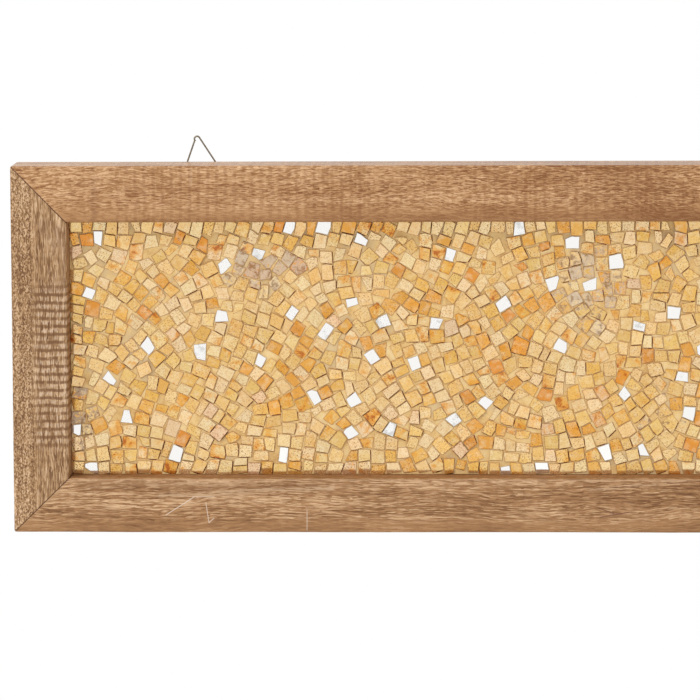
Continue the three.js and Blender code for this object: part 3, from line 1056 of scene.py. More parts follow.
class TimberFrame:
    """The four mitred rails."""

    def __init__(self, sizes: PanelSizes) -> None:
        """Plans the rails of a panel."""
        self.sizes = sizes
        bottom_width = sizes.opening_low[1] - sizes.bottom
        top_width = sizes.top - sizes.opening_high[1]
        stile_width = sizes.opening_low[0] - sizes.left
        self.rails = [
            Rail(
                "top_rail", Grain.LEVEL, 1, (stile_width, stile_width), 2.0,
                TimberFinish(
                    ring_width=7.0, wander=9.0, fleck_length=3.8, fleck=1.0, fade=0.14, edge_highlight=0.1,
                    calm=(124.0, 110.0),
                ),
                bars=(Bars(-520, -300, 7.4, 0.3), Bars(-220, -60, 8.3, 0.3), Bars(120, 420, 7.6, 0.3)),
                scratches=TOP_MARKS,
            ),
            Rail(
                "bottom_rail", Grain.LEVEL, -1, (stile_width, stile_width), 2.0,
                TimberFinish(
                    light=shade(208, 170, 130), middle=shade(159, 115, 71), dark=shade(108, 66, 26),
                    shift=830.0, ring_width=5.0, wander=9.0, streak=1.7, fleck=0.9,
                    fleck_length=7.0, fade=0.06,
                    edge_highlight=0.6, calm=(-137.0, -147.0),
                ),
                scratches=BOTTOM_MARKS,
            ),
            Rail(
                "left_stile", Grain.UPRIGHT, -1, (bottom_width, top_width), 1.2,
                TimberFinish(
                    light=shade(212, 178, 142), middle=shade(163, 124, 81), dark=shade(104, 66, 30),
                    shift=310.0, ring_width=5.0, wander=3.0, fleck=1.05, fleck_length=6.0,
                    streak=1.5, edge_highlight=0.2,
                    sandy=(-578.0, -586.0),
                ),
                bars=(Bars(-84, 58, 6.6, 1.0, (-590.0, -574.0)),),
                scratches=LEFT_MARKS,
            ),
            Rail(
                "right_stile", Grain.UPRIGHT, 1, (bottom_width, top_width), 1.2,
                TimberFinish(
                    light=shade(210, 174, 136), middle=shade(163, 122, 80), dark=shade(108, 68, 30),
                    shift=1400.0, ring_width=5.5, wander=4.0, fleck=1.05, fleck_length=6.0,
                    streak=1.5, edge_highlight=0.2,
                ),
                bars=(Bars(-40, 70, 6.9, 0.6),),
            ),
        ]

    def build(self) -> None:
        """Builds every rail."""
        for rail in self.rails:
            rail.build(self.sizes)


# ---- Mosaic layout ----


class Draws:
    """A repeatable run of numbers from 0 to 1, the same one that the part's source draws."""

    def __init__(self, seed: int) -> None:
        """Starts at a seed."""
        self.state = seed

    def next(self) -> float:
        """The next number."""
        self.state = (self.state * 1664525 + 1013904223) % 4294967296
        return self.state / 4294967296

    def signed(self) -> float:
        """The next number, spread from -1 to 1."""
        return 2 * self.next() - 1


def ease(value: float) -> float:
    """A smooth rise from 0 to 1."""
    t = min(1.0, max(0.0, value))
    return t * t * (3 - 2 * t)


@dataclass(slots=True)
class Tile:
    """One tessera, placed from the opening's lower left corner.

    Attributes:
        column: Its column in the rows that it was seated in.
        row: Its row.
        x: Its middle.
        y: Its middle.
        ux: Direction of its width, first part.
        uy: Direction of its width, second part.
        half_width: Half its width.
        half_height: Half its height.
        outline: Its corners, anticlockwise.
        proud: How far it stands above the common level.
    """

    column: int
    row: int
    x: float
    y: float
    ux: float
    uy: float
    half_width: float
    half_height: float
    outline: Outline = field(default_factory=list)
    proud: float = 0.0

    def turn(self, by: float) -> None:
        """Turns the tile a little."""
        ux = self.ux - by * self.uy
        uy = self.uy + by * self.ux
        size = math.sqrt(ux * ux + uy * uy)
        self.ux = ux / size
        self.uy = uy / size


def clipped(outline: Outline, nx: float, ny: float, limit: float) -> Outline:
    """The part of an outline on the near side of the line nx*x + ny*y = limit.

    Args:
        outline: Corners, in order.
        nx: First part of the line's normal.
        ny: Second part.
        limit: Where the line lies.

    Returns:
        The corners that are left.
    """
    kept = []
    for (px, py), (qx, qy) in zip(outline, outline[1:] + outline[:1]):
        here = px * nx + py * ny - limit
        after = qx * nx + qy * ny - limit
        if here <= 0:
            kept.append((px, py))
        if here * after < 0:
            t = here / (here - after)
            kept.append((px + (qx - px) * t, py + (qy - py) * t))
    return kept


@dataclass(frozen=True)
class TileSetter:
    """Lays the tesserae as the part's source does, number for number, so that the proud ones coincide.

    Attributes:
        length: Length of the opening.
        height: Height of the opening.
    """

    length: float
    height: float
    side: float = 10.8
    spread: float = 0.16
    pitch: float = 11.1
    joint: float = 0.6
    swell: float = 1.5
    trim: float = 3.2
    least_side: float = 1.3
    drift_cell: float = 26
    drift_turn: float = 1.25
    jitter: float = 0.65
    rounds: int = 80
    near: float = 15.5
    seed: int = 20
    proud_seed: int = 7
    proud_share: float = 0.2
    proud_least: float = 0.7
    proud_most: float = 1.2

    @property
    def columns(self) -> int:
        """Number of columns."""
        return round(self.length / self.pitch)

    @property
    def rows(self) -> int:
        """Number of rows."""
        return round(self.height / self.pitch)

    def lay(self) -> list[Tile]:
        """Seats, settles and cuts every tile.

        Returns:
            The tiles, row by row.
        """
        draws = Draws(self.seed)
        tiles = self._seat(draws)
        for count in range(1, self.rounds + 1):
            size = 0.86 + 0.14 * ease(count / (0.6 * self.rounds))
            for a, b in self._near_pairs(tiles, self.near):
                self._push_apart(a, b, size)
            for tile in tiles:
                self._hold_inside(tile, size)
        for tile in tiles:
            tile.outline = self._cut(tile, draws)
        for a, b in self._near_pairs(tiles, self.near + 1.5):
            self._keep_joint(a, b)
        least = self.least_side * self.least_side
        proud_draws = Draws(self.proud_seed)
        for tile in tiles:
            ring = zip(tile.outline, tile.outline[1:] + tile.outline[:1])
            tile.outline = [
                p for p, q in ring if (q[0] - p[0]) * (q[0] - p[0]) + (q[1] - p[1]) * (q[1] - p[1]) >= least
            ]
            is_proud = proud_draws.next() < self.proud_share
            proud = self.proud_least + (self.proud_most - self.proud_least) * proud_draws.next()
            tile.proud = proud if is_proud else 0.0
        return tiles

    def _seat(self, draws: Draws) -> list[Tile]:
        """Seats the tiles row by row with a wandering direction.

        Args:
            draws: The run of numbers.

        Returns:
            The tiles.
        """
        across = math.floor(self.length / self.drift_cell) + 2
        up = math.floor(self.height / self.drift_cell) + 2
        held = [[draws.signed() for _ in range(across)] for _ in range(up)]
        step_x = self.length / self.columns
        step_y = self.height / self.rows
        tiles = []
        for row in range(self.rows):
            for column in range(self.columns):
                jump_x, jump_y, jump_turn, wide, high = (draws.signed() for _ in range(5))
                end_column = column in (0, self.columns - 1)
                end_row = row in (0, self.rows - 1)
                x = (column + 0.5) * step_x + (0 if end_column else self.jitter * step_x * jump_x)
                y = (row + 0.5) * step_y + (0 if end_row else self.jitter * step_y * jump_y)
                x = min(self.length - 1, max(1, x))
                y = min(self.height - 1, max(1, y))
                free = ease((min(x, y, self.length - x, self.height - y) - 8) / 22)
                turn = free * self.drift_turn * self._turn_at(held, x, y) + jump_turn * (0.015 + 0.1 * free)
                scale = 1 + turn * turn
                tiles.append(
                    Tile(
                        column, row, x, y, (1 - turn * turn) / scale, (2 * turn) / scale,
                        (self.side / 2) * (1 + self.spread * wide),
                        (self.side / 2) * (1 + self.spread * high),
                    )
                )
        return tiles

    def _turn_at(self, held: list[list[float]], x: float, y: float) -> float:
        """The wandering turn at a place, between draws held on a coarse grid."""
        i, j = math.floor(x / self.drift_cell), math.floor(y / self.drift_cell)
        s, t = ease(x / self.drift_cell - i), ease(y / self.drift_cell - j)
        low = held[j][i] * (1 - s) + held[j][i + 1] * s
        high = held[j + 1][i] * (1 - s) + held[j + 1][i + 1] * s
        return low * (1 - t) + high * t

    def _near_pairs(self, tiles: list[Tile], reach: float) -> Iterator[tuple[Tile, Tile]]:
        """Every two tiles whose middles are closer than reach, once each.

        Args:
            tiles: The tiles.
            reach: The distance.

        Yields:
            The pairs, read from the tiles' places at that moment.
        """
        offsets = [(across, up) for up in range(4) for across in range(-3 if up > 0 else 1, 4)]
        limit = reach * reach
        for a in tiles:
            for across, up in offsets:
                column, row = a.column + across, a.row + up
                if column < 0 or column >= self.columns or row >= self.rows:
                    continue
                b = tiles[row * self.columns + column]
                dx, dy = b.x - a.x, b.y - a.y
                if dx * dx + dy * dy < limit:
                    yield a, b

    def _push_apart(self, a: Tile, b: Tile, size: float) -> None:
        """Moves two tiles apart along the side where they overlap least, and turns them to lie side by side.

        Args:
            a: One tile.
            b: The other.
            size: Share of their full size that they have reached.
        """
        dx, dy = b.x - a.x, b.y - a.y
        dot = a.ux * b.ux + a.uy * b.uy
        cross = a.ux * b.uy - a.uy * b.ux
        even, askew = abs(dot), abs(cross)
        aw, ah = a.half_width * size + self.joint / 2, a.half_height * size + self.joint / 2
        bw, bh = b.half_width * size + self.joint / 2, b.half_height * size + self.joint / 2
        least, nx, ny = math.inf, 0.0, 0.0
        for ex, ey, span in (
            (a.ux, a.uy, aw + bw * even + bh * askew),
            (-a.uy, a.ux, ah + bw * askew + bh * even),
            (b.ux, b.uy, bw + aw * even + ah * askew),
            (-b.uy, b.ux, bh + aw * askew + ah * even),
        ):
            reach = dx * ex + dy * ey
            depth = span - abs(reach)
            if depth <= 0:
                return
            if depth < least:
                least = depth
                nx, ny = (-ex, -ey) if reach < 0 else (ex, ey)
        push = 0.4 * least
        a.x -= nx * push
        a.y -= ny * push
        b.x += nx * push
        b.y += ny * push
        if even >= askew:
            lean = cross if dot > 0 else -cross
        else:
            lean = -dot if cross > 0 else dot
        turn = 0.06 * lean * min(1, least)
        a.turn(turn)
        b.turn(-turn)

    def _hold_inside(self, tile: Tile, size: float) -> None:
        """Keeps a tile in the opening, and the outermost rows against the frame.

        Args:
            tile: The tile.
            size: Share of its full size that it has reached.
        """
        ax, ay = abs(tile.ux), abs(tile.uy)
        reach_x = (tile.half_width * ax + tile.half_height * ay) * size
        reach_y = (tile.half_height * ax + tile.half_width * ay) * size
        tile.x = min(self.length - reach_x, max(reach_x, tile.x))
        tile.y = min(self.height - reach_y, max(reach_y, tile.y))
        if tile.column == 0:
            tile.x = reach_x
        if tile.column == self.columns - 1:
            tile.x = self.length - reach_x
        if tile.row == 0:
            tile.y = reach_y
        if tile.row == self.rows - 1:
            tile.y = self.height - reach_y

    def _cut(self, tile: Tile, draws: Draws) -> Outline:
        """Cuts a tile's outline, nipping its corners.

        Args:
            tile: The tile.
            draws: The run of numbers.

        Returns:
            The outline, inside the opening.
        """
        outline = []
        for right, up in ((-1, -1), (1, -1), (1, 1), (-1, 1)):
            nip_x, nip_y = draws.next(), draws.next()
            p = right * (tile.half_width + self.swell - self.trim * nip_x * nip_x)
            q = up * (tile.half_height + self.swell - self.trim * nip_y * nip_y)
            outline.append((tile.x + p * tile.ux - q * tile.uy, tile.y + p * tile.uy + q * tile.ux))
        outline = clipped(outline, -1, 0, 0)
        outline = clipped(outline, 1, 0, self.length)
        outline = clipped(outline, 0, -1, 0)
        return clipped(outline, 0, 1, self.height)

    def _keep_joint(self, a: Tile, b: Tile) -> None:
        """Nips two tiles back to keep a joint along the line midway in the widest gap between them."""
        widest, line = -math.inf, (0.0, 0.0, 0.0)
        for one, other, sign in ((a.outline, b.outline, 1), (b.outline, a.outline, -1)):
            for (px, py), (qx, qy) in zip(one, one[1:] + one[:1]):
                ex, ey = qx - px, qy - py
                size = math.sqrt(ex * ex + ey * ey)
                if size < 1:
                    continue
                nx, ny = ey / size, -ex / size
                base = px * nx + py * ny
                gap = min(x * nx + y * ny for x, y in other) - base
                if gap > widest:
                    widest = gap
                    line = (nx * sign, ny * sign, (base + gap / 2) * sign)
        if widest >= self.joint:
            return
        nx, ny, middle = line
        a.outline = clipped(a.outline, nx, ny, middle - self.joint / 2)
        b.outline = clipped(b.outline, -nx, -ny, -middle - self.joint / 2)


# ---- Mosaic finishes ----


class Glaze(Enum):
    """Colours of the gold glass, each with its share of the tiles."""

    CREAM = (shade(243, 214, 163), 0.20)
    STRAW = (shade(240, 204, 142), 0.31)
    HONEY = (shade(236, 194, 120), 0.24)
    GOLD = (shade(234, 184, 98), 0.11)
    AMBER = (shade(232, 168, 78), 0.08)
    ORANGE = (shade(226, 150, 64), 0.03)
    BLUSH = (shade(236, 200, 160), 0.03)


@dataclass(frozen=True)
class GoldGlassFinish:
    """Gold-backed glass: bright and glossy, with pin holes, rusty blooms and worn backing.

    Attributes:
        shine: Share of the face that mirrors.
        roughness: Roughness of a sound face.
    """

    shine: float = 0.84
    roughness: float = 0.1

    def material(self) -> bpy.types.Material:
        """Makes the material; it reads the tiles' own attributes."""
        material, bench = new_material("gold_glass")
        x, y, z = bench.object_place()
        sx, sy, sz = bench.parts(bench.attribute("shift", "Vector"))
        own = bench.place(x + sx, z + sz, y + sy)
        glaze = bench.attribute("glaze", "Color")
        rust = Term(bench, bench.attribute("rust"))
        pits = Term(bench, bench.attribute("pits"))
        worn = Term(bench, bench.attribute("worn"))
        cut = Term(bench, bench.attribute("cut"))
        stain = Term(bench, bench.attribute("stain"))
        cloud = bench.noise(own, 0.16, 3.0, 0.6)
        streak = bench.noise(own, 0.6, 3.0, 0.7)
        base = bench.blend(cloud.step(0.42, 0.72) * 0.4, glaze, shade(246, 228, 190))
        base = bench.blend(streak.step(0.46, 0.7) * 0.5, base, shade(210, 152, 82))
        grain = bench.noise(own, 1.1, 2.0, 0.7)
        base = bench.blend(grain.step(0.5, 0.72) * 0.4, base, shade(196, 142, 78))
        bloom = bench.noise(own, 0.11, 4.0, 0.6, 0.4) + rust * 0.27
        base = bench.blend(bloom.step(0.66, 0.84) * 0.7, base, shade(228, 154, 50))
        base = bench.blend(bloom.step(0.82, 0.92) * 0.8, base, shade(176, 84, 34))
        crowd = (bench.noise(own, 0.2, 2.0) + pits * 0.45).step(0.53, 0.76)
        hole = bench.spots(own, 0.34).step(0.19, 0.09) * crowd
        hole = hole.at_least(bench.spots(own, 0.6).step(0.24, 0.12) * crowd * 0.7)
        base = bench.blend(hole * 0.68, base, shade(134, 80, 34))
        grime = bench.noise(bench.place(x, y, z), 0.2, 5.0, 0.7, 0.5)
        wear = (grime + worn * 0.4).step(0.68, 0.8)
        bare = bench.blend(grime.step(0.5, 0.64), shade(196, 178, 158), shade(128, 92, 62))
        base = bench.blend(wear * 0.75, base, bare)
        # Painted shade: side faces and worn chamfers turn dark brown, partly the cut glass's own edge and
        # partly the joint's shade painted on; a per-tile value sets how dark.
        base = bench.blend(cut * (0.55 + stain * 0.45), base, shade(140, 66, 18))
        sound = (1 - wear * 0.7) * (1 - hole * 0.8) * (1 - cut)
        ripple = bench.noise(own, 0.12, 1.0)
        close_material(
            bench,
            {
                "Base Color": base,
                "Metallic": sound * self.shine,
                "Roughness": self.roughness + (1 - sound) * 0.6,
                "IOR": 1.4,
            },
            ripple,
            relief=0.05,
        )
        return material


@dataclass(frozen=True)
class MirrorFinish:
    """Clear mirror glass with faint grey clouds where the silver has gone."""

    roughness: float = 0.06

    def material(self) -> bpy.types.Material:
        """Makes the material."""
        material, bench = new_material("mirror_glass")
        x, y, z = bench.object_place()
        sx, sy, sz = bench.parts(bench.attribute("shift", "Vector"))
        own = bench.place(x + sx, z + sz, y + sy)
        cut = Term(bench, bench.attribute("cut"))
        rust = Term(bench, bench.attribute("rust"))
        cloud = (bench.noise(own, 0.12, 2.0) + rust * 0.2).step(0.68, 0.9)
        base = bench.blend(cloud * 0.5, shade(248, 246, 243), shade(176, 176, 172))
        speck = bench.spots(own, 0.5).step(0.12, 0.05) * rust
        base = bench.blend(speck, base, shade(120, 112, 96))
        base = bench.blend(cut * 0.8, base, shade(150, 132, 104))
        close_material(
            bench,
            {"Base Color": base, "Metallic": 1 - cut * 0.9, "Roughness": self.roughness + cut * 0.3},
            bench.noise(own, 0.1, 1.0),
            relief=0.03,
        )
        return material


@dataclass(frozen=True)
class GroutFinish:
    """Matt tan grout, smeared and dusty, greyer in places."""

    name: str = "tan_grout"
    body: Colour = shade(226, 190, 128)
    dark: Colour = shade(188, 142, 84)
    pale: Colour = shade(234, 210, 160)
    grey: Colour = shade(200, 176, 138)

    def material(self) -> bpy.types.Material:
        """Makes the material."""
        material, bench = new_material(self.name)
        x, y, z = bench.object_place()
        place = bench.place(x, y, z)
        cloud = bench.noise(place, 0.06, 3.0, 0.6)
        grit = bench.noise(place, 1.3, 3.0, 0.7)
        base = bench.ramp(cloud * 0.6 + grit * 0.4, [(0.32, self.dark), (0.5, self.body), (0.68, self.pale)])
        base = bench.blend(bench.noise(place, 0.035, 3.0, 0.6, 0.5).step(0.52, 0.66) * 0.6, base, self.grey)
        close_material(
            bench, {"Base Color": base, "Roughness": 0.9, "Specular IOR Level": 0.3}, grit, relief=0.25
        )
        return material


# ---- Mosaic ----


@dataclass(frozen=True)
class WornPatch:
    """A place where the tiles' gold backing has worn off.

    Attributes:
        x: Its middle.
        z: Its middle.
        half_length: How far it reaches along X.
        half_height: How far it reaches along Z.
        strength: How worn its middle is.
    """

    x: float
    z: float
    half_length: float
    half_height: float
    strength: float

    def at(self, x: float, z: float) -> float:
        """How worn a place is."""
        far = math.hypot((x - self.x) / self.half_length, (z - self.z) / self.half_height)
        return self.strength * ease(1.4 - far)


@dataclass
class Mosaic:
    """Grout bed, gold and mirror tesserae, and dark strips of painted shadow on the grout beside tiles that
    stand proud.

    Attributes:
        sizes: The panel's sizes.
        recess: From the frame's front to the common tile level.
        grout_drop: From the tile faces down to the grout.
        body: How far a tile reaches behind its face.
        chamfer: Height of the worn edge of a tile.
        mirror_share: Share of the tiles that are mirror glass.
        mirror_spacing: Least distance between two of them.
        patches: Worn places.
    """

    sizes: PanelSizes
    recess: float = 27.0
    grout_drop: float = 0.75
    body: float = 3.0
    chamfer: float = 0.28
    mirror_share: float = 0.051
    mirror_spacing: float = 27.0
    patches: tuple[WornPatch, ...] = (
        WornPatch(-391, 66, 38, 24, 0.9),
        WornPatch(-122, 47, 32, 40, 0.8),
        WornPatch(-60, -60, 26, 20, 0.5),
        WornPatch(-546, -60, 14, 40, 0.6),
        WornPatch(170, 20, 45, 30, 0.7),
        WornPatch(410, -40, 35, 30, 0.7),
    )

    def build(self) -> None:
        """Builds every piece of the mosaic."""
        setter = TileSetter(self.sizes.opening_length, self.sizes.opening_height)
        tiles = setter.lay()
        rng = np.random.default_rng(41)
        mirrors = self._choose_mirrors(tiles, rng)
        tree = self._tile_tree()
        gold = [t for i, t in enumerate(tiles) if i not in mirrors]
        silver = [t for i, t in enumerate(tiles) if i in mirrors]
        for tile in tiles:
            if tile.proud == 0.0:
                self._nip(tile, rng, 0.45 if tile in silver else 0.1)
        self._tesserae("tesserae_gold", gold, tree, GoldGlassFinish().material(), "gold_glass", rng)
        self._tesserae("tesserae_mirror", silver, tree, MirrorFinish().material(), "mirror_glass", rng)
        self._grout(GroutFinish().material())
        self._painted_tile_shadows(gold, tree, rng)

    def _to_panel(self, point: Point) -> Point:
        """X and Z in the panel of a place measured from the opening's corner."""
        return point[0] + self.sizes.opening_low[0], point[1] + self.sizes.opening_low[1]

    def _choose_mirrors(self, tiles: list[Tile], rng: np.random.Generator) -> set[int]:
        """Picks scattered tiles to be mirror glass, never two close together.

        Args:
            tiles: The tiles.
            rng: Source of chance.

        Returns:
            Numbers of the picked tiles.
        """
        picked: list[int] = []
        for number in rng.permutation(len(tiles)).tolist():
            if len(picked) >= self.mirror_share * len(tiles):
                break
            tile = tiles[number]
            if all(
                math.hypot(tile.x - tiles[k].x, tile.y - tiles[k].y) > self.mirror_spacing for k in picked
            ):
                picked.append(number)
        return set(picked)

    @staticmethod
    def _nip(tile: Tile, rng: np.random.Generator, chance: float) -> None:
        """Cuts a corner or a side off some tiles.

        Args:
            tile: The tile.
            rng: Source of chance.
            chance: Share of tiles that are cut.
        """
        lucky, angle, share = rng.random(), rng.uniform(0, 2 * math.pi), rng.uniform(0.15, 0.75)
        if lucky > chance:
            return
        nx, ny = math.cos(angle), math.sin(angle)
        reach = max((x - tile.x) * nx + (y - tile.y) * ny for x, y in tile.outline)
        cut = clipped(tile.outline, nx, ny, tile.x * nx + tile.y * ny + reach * share)
        if len(cut) >= 3:
            tile.outline = cut

    def _ragged(self, outline: Outline, rng: np.random.Generator) -> Outline:
        """Breaks an outline's sides into shorter ones that stray a little, as a nipper leaves them.

        Args:
            outline: The corners.
            rng: Source of chance.

        Returns:
            The finer outline.
        """
        points = []
        for (px, py), (qx, qy) in zip(outline, outline[1:] + outline[:1]):
            length = math.hypot(qx - px, qy - py)
            nx, ny = (qy - py) / length, (px - qx) / length
            points.append((px, py))
            count = max(1, round(length / 3.4))
            for k in range(1, count):
                off = rng.uniform(-0.16, 0.1)
                share = (k + rng.uniform(-0.2, 0.2)) / count
                points.append((px + (qx - px) * share + nx * off, py + (qy - py) * share + ny * off))
        return points

    def _tesserae(self, name: str, tiles: list[Tile], tree: bpy.types.NodeTree,
                  material: bpy.types.Material, slot: str, rng: np.random.Generator) -> None:
        """Makes one piece of many tiles.

        Args:
            name: The piece's name.
            tiles: Its tiles.
            tree: The geometry tree that raises them.
            material: Their material.
            slot: The record's material slot.
            rng: Source of chance.
        """
        glazes = list(Glaze)
        shares = np.array([g.value[1] for g in glazes])
        keys = ("rise", "rim", "centre", "lean", "shift", "glaze", "rust", "pits", "worn", "stain")
        columns: dict[str, list] = {key: [] for key in keys}
        outlines = []
        for tile in tiles:
            outline = [self._to_panel(p) for p in self._ragged(tile.outline, rng)]
            outlines.append(outline)
            middle = np.mean(outline, axis=0)
            size = math.sqrt(abs(self._area(outline)))
            steep = 0.012 + 0.01 * (tile.proud > 0)
            colour = np.array(glazes[rng.choice(len(glazes), p=shares / shares.sum())].value[0])
            colour[:3] *= rng.uniform(0.93, 1.05) * rng.uniform(0.97, 1.03, 3)
            worn = max(patch.at(*middle) for patch in self.patches)
            columns["rise"].append((self.body + tile.proud + rng.uniform(-0.12, 0.12)) * MM)
            columns["rim"].append(1 - 2 * self.chamfer / max(size, 2.0))
            columns["centre"].append((middle[0] * MM, 0.0, middle[1] * MM))
            columns["lean"].append((rng.normal(0, steep), 0.0, rng.normal(0, steep)))
            columns["shift"].append(tuple(rng.uniform(-400, 400, 3)))
            columns["glaze"].append(tuple(colour))
            columns["rust"].append(rng.random() ** 2)
            columns["pits"].append(rng.random() ** 1.5)
            # Per-tile depth of the painted shade on the tile's edges.
            columns["stain"].append(rng.random())
            columns["worn"].append(min(1.0, worn * rng.uniform(0.4, 1.3) + 0.12 * (rng.random() < 0.06)))
        thing = mesh_object(name, self._flat_mesh(outlines, self.sizes.front + self.recess + self.body))
        kinds = {
            "centre": "FLOAT_VECTOR", "lean": "FLOAT_VECTOR", "shift": "FLOAT_VECTOR", "glaze": "FLOAT_COLOR"
        }
        for key, values in columns.items():
            kind = kinds.get(key, "FLOAT")
            layer = thing.data.attributes.new(key, kind, "FACE")
            reads = {"FLOAT": "value", "FLOAT_VECTOR": "vector", "FLOAT_COLOR": "color"}[kind]
            layer.data.foreach_set(reads, np.array(values, np.float32).ravel())
        grow(thing, tree, {"Chamfer": self.chamfer * MM, "Material": material})
        settle_piece(thing, "panel", slot, "mosaic_field")

    @staticmethod
    def _area(outline: Outline) -> float:
        """Area inside an outline."""
        return sum(a[0] * b[1] - b[0] * a[1] for a, b in zip(outline, outline[1:] + outline[:1])) / 2

    @staticmethod
    def _flat_mesh(outlines: list[Outline], depth: float) -> bpy.types.Mesh:
        """Outlines in X and Z as flat faces that look to the front.

        Args:
            outlines: The outlines.
            depth: Their Y.

        Returns:
            The mesh.
        """
        points = [(x, depth, z) for outline in outlines for x, z in outline]
        faces, first = [], 0
        for outline in outlines:
            faces.append(list(range(first, first + len(outline))))
            first += len(outline)
        return mesh_from(np.array(points), faces)

    @staticmethod
    def _tile_tree() -> bpy.types.NodeTree:
        """Geometry tree that raises flat faces into tiles with a worn edge and a slight lean.

        The back face is joined on without the lean, so it misses the leaning rim by a fraction of a
        millimetre and the tiles are open there, inside the grout.

        Returns:
            The tree, with the inputs Chamfer and Material.
        """
        tree = bpy.data.node_groups.new("raise tesserae", "GeometryNodeTree")
        tree_inputs(tree, [("Chamfer", "NodeSocketFloat"), ("Material", "NodeSocketMaterial")])
        bench = Bench(tree)
        given = bench.add("NodeGroupInput")
        flat = given.outputs["Geometry"]

        def named(name: str, kind: str) -> bpy.types.NodeSocket:
            """Reads an attribute of the input mesh."""
            return bench.add(
                "GeometryNodeInputNamedAttribute", {"data_type": kind}, {"Name": name}
            ).outputs[0]

        def raised(mesh: object, chosen: object, by: object) -> bpy.types.Node:
            """Extrudes each chosen face to the front."""
            inputs = {"Mesh": mesh, "Offset": (0.0, -1.0, 0.0), "Offset Scale": by, "Individual": True}
            if chosen is not None:
                inputs["Selection"] = chosen
            return bench.add("GeometryNodeExtrudeMesh", {"mode": "FACES"}, inputs)

        def marked(mesh: object, chosen: object, value: float) -> bpy.types.NodeSocket:
            """Stores how much of the cut glass a face shows."""
            settings = {"data_type": "FLOAT", "domain": "FACE"}
            inputs = {"Geometry": mesh, "Selection": chosen, "Name": "cut", "Value": value}
            return bench.add("GeometryNodeStoreNamedAttribute", settings, inputs).outputs[0]

        rise = Term(bench, named("rise", "FLOAT")) - Term(bench, given.outputs["Chamfer"])
        body = raised(flat, None, rise)
        sides = marked(body.outputs["Mesh"], body.outputs["Side"], 1.0)
        edge = raised(sides, body.outputs["Top"], given.outputs["Chamfer"])
        chamfers = marked(edge.outputs["Mesh"], edge.outputs["Side"], 0.7)
        worn = bench.add(
            "GeometryNodeScaleElements", {"domain": "FACE"},
            {"Geometry": chamfers, "Selection": edge.outputs["Top"], "Scale": named("rim", "FLOAT")},
        )
        place = bench.add("GeometryNodeInputPosition").outputs[0]
        arm = bench.add(
            "ShaderNodeVectorMath", {"operation": "SUBTRACT"}, {0: place, 1: named("centre", "FLOAT_VECTOR")}
        )
        tip = bench.term(
            "ShaderNodeVectorMath", "Value", {"operation": "DOT_PRODUCT"},
            {0: arm.outputs[0], 1: named("lean", "FLOAT_VECTOR")},
        )
        leaning = bench.add(
            "GeometryNodeSetPosition", None,
            {"Geometry": worn.outputs[0], "Offset": bench.place(0.0, tip * -1.0, 0.0)},
        )
        under = bench.add("GeometryNodeFlipFaces", None, {"Mesh": flat})
        whole = bench.add("GeometryNodeJoinGeometry")
        tree.links.new(leaning.outputs[0], whole.inputs[0])
        tree.links.new(under.outputs[0], whole.inputs[0])
        real = bench.add("GeometryNodeRealizeInstances", None, {"Geometry": whole.outputs[0]})
        dressed = bench.add(
            "GeometryNodeSetMaterial", None,
            {"Geometry": real.outputs[0], "Material": given.outputs["Material"]},
        )
        bench.add("NodeGroupOutput", None, {"Geometry": dressed.outputs[0]})
        return tree

    def _grout(self, material: bpy.types.Material) -> None:
        """Makes the grout bed: a slab whose front is slightly uneven.

        Args:
            material: Its material.
        """
        gap, step = 0.3, 2.6
        low = (self.sizes.opening_low[0] + gap, self.sizes.opening_low[1] + gap)
        high = (self.sizes.opening_high[0] - gap, self.sizes.opening_high[1] - gap)
        columns = round((high[0] - low[0]) / step)
        rows = round((high[1] - low[1]) / step)
        x, z = np.meshgrid(np.linspace(low[0], high[0], columns + 1), np.linspace(low[1], high[1], rows + 1))
        level = self.sizes.front + self.recess + self.grout_drop
        y = level + 0.12 * Ripple(5, 7, 7).at(x, z) + 0.12 * Ripple(6, 31, 31).at(x, z)
        front = np.stack([x, y, z], axis=-1).reshape(-1, 3)
        numbers = np.arange(len(front)).reshape(rows + 1, columns + 1)
        quads = np.stack([numbers[:-1, :-1], numbers[:-1, 1:], numbers[1:, 1:], numbers[1:, :-1]], axis=-1)
        rim = [*numbers[0, :-1], *numbers[:-1, -1], *numbers[-1, :0:-1], *numbers[:0:-1, 0]]
        behind = front[rim].copy()
        behind[:, 1] = self.sizes.board_front - gap
        first = len(front)
        count = len(rim)
        sides = [
            [int(rim[k]), int(rim[(k + 1) % count]), first + (k + 1) % count, first + k] for k in range(count)
        ]
        faces = [*quads.reshape(-1, 4).tolist(), *sides, list(range(first, first + count))]
        mesh = mesh_from(np.concatenate([front, behind]), faces)
        face_outwards(mesh)
        smooth_by_angle(mesh, 40)
        mesh.materials.append(material)
        settle_piece(mesh_object("grout_bed", mesh), "panel", "grout", "mosaic_field")

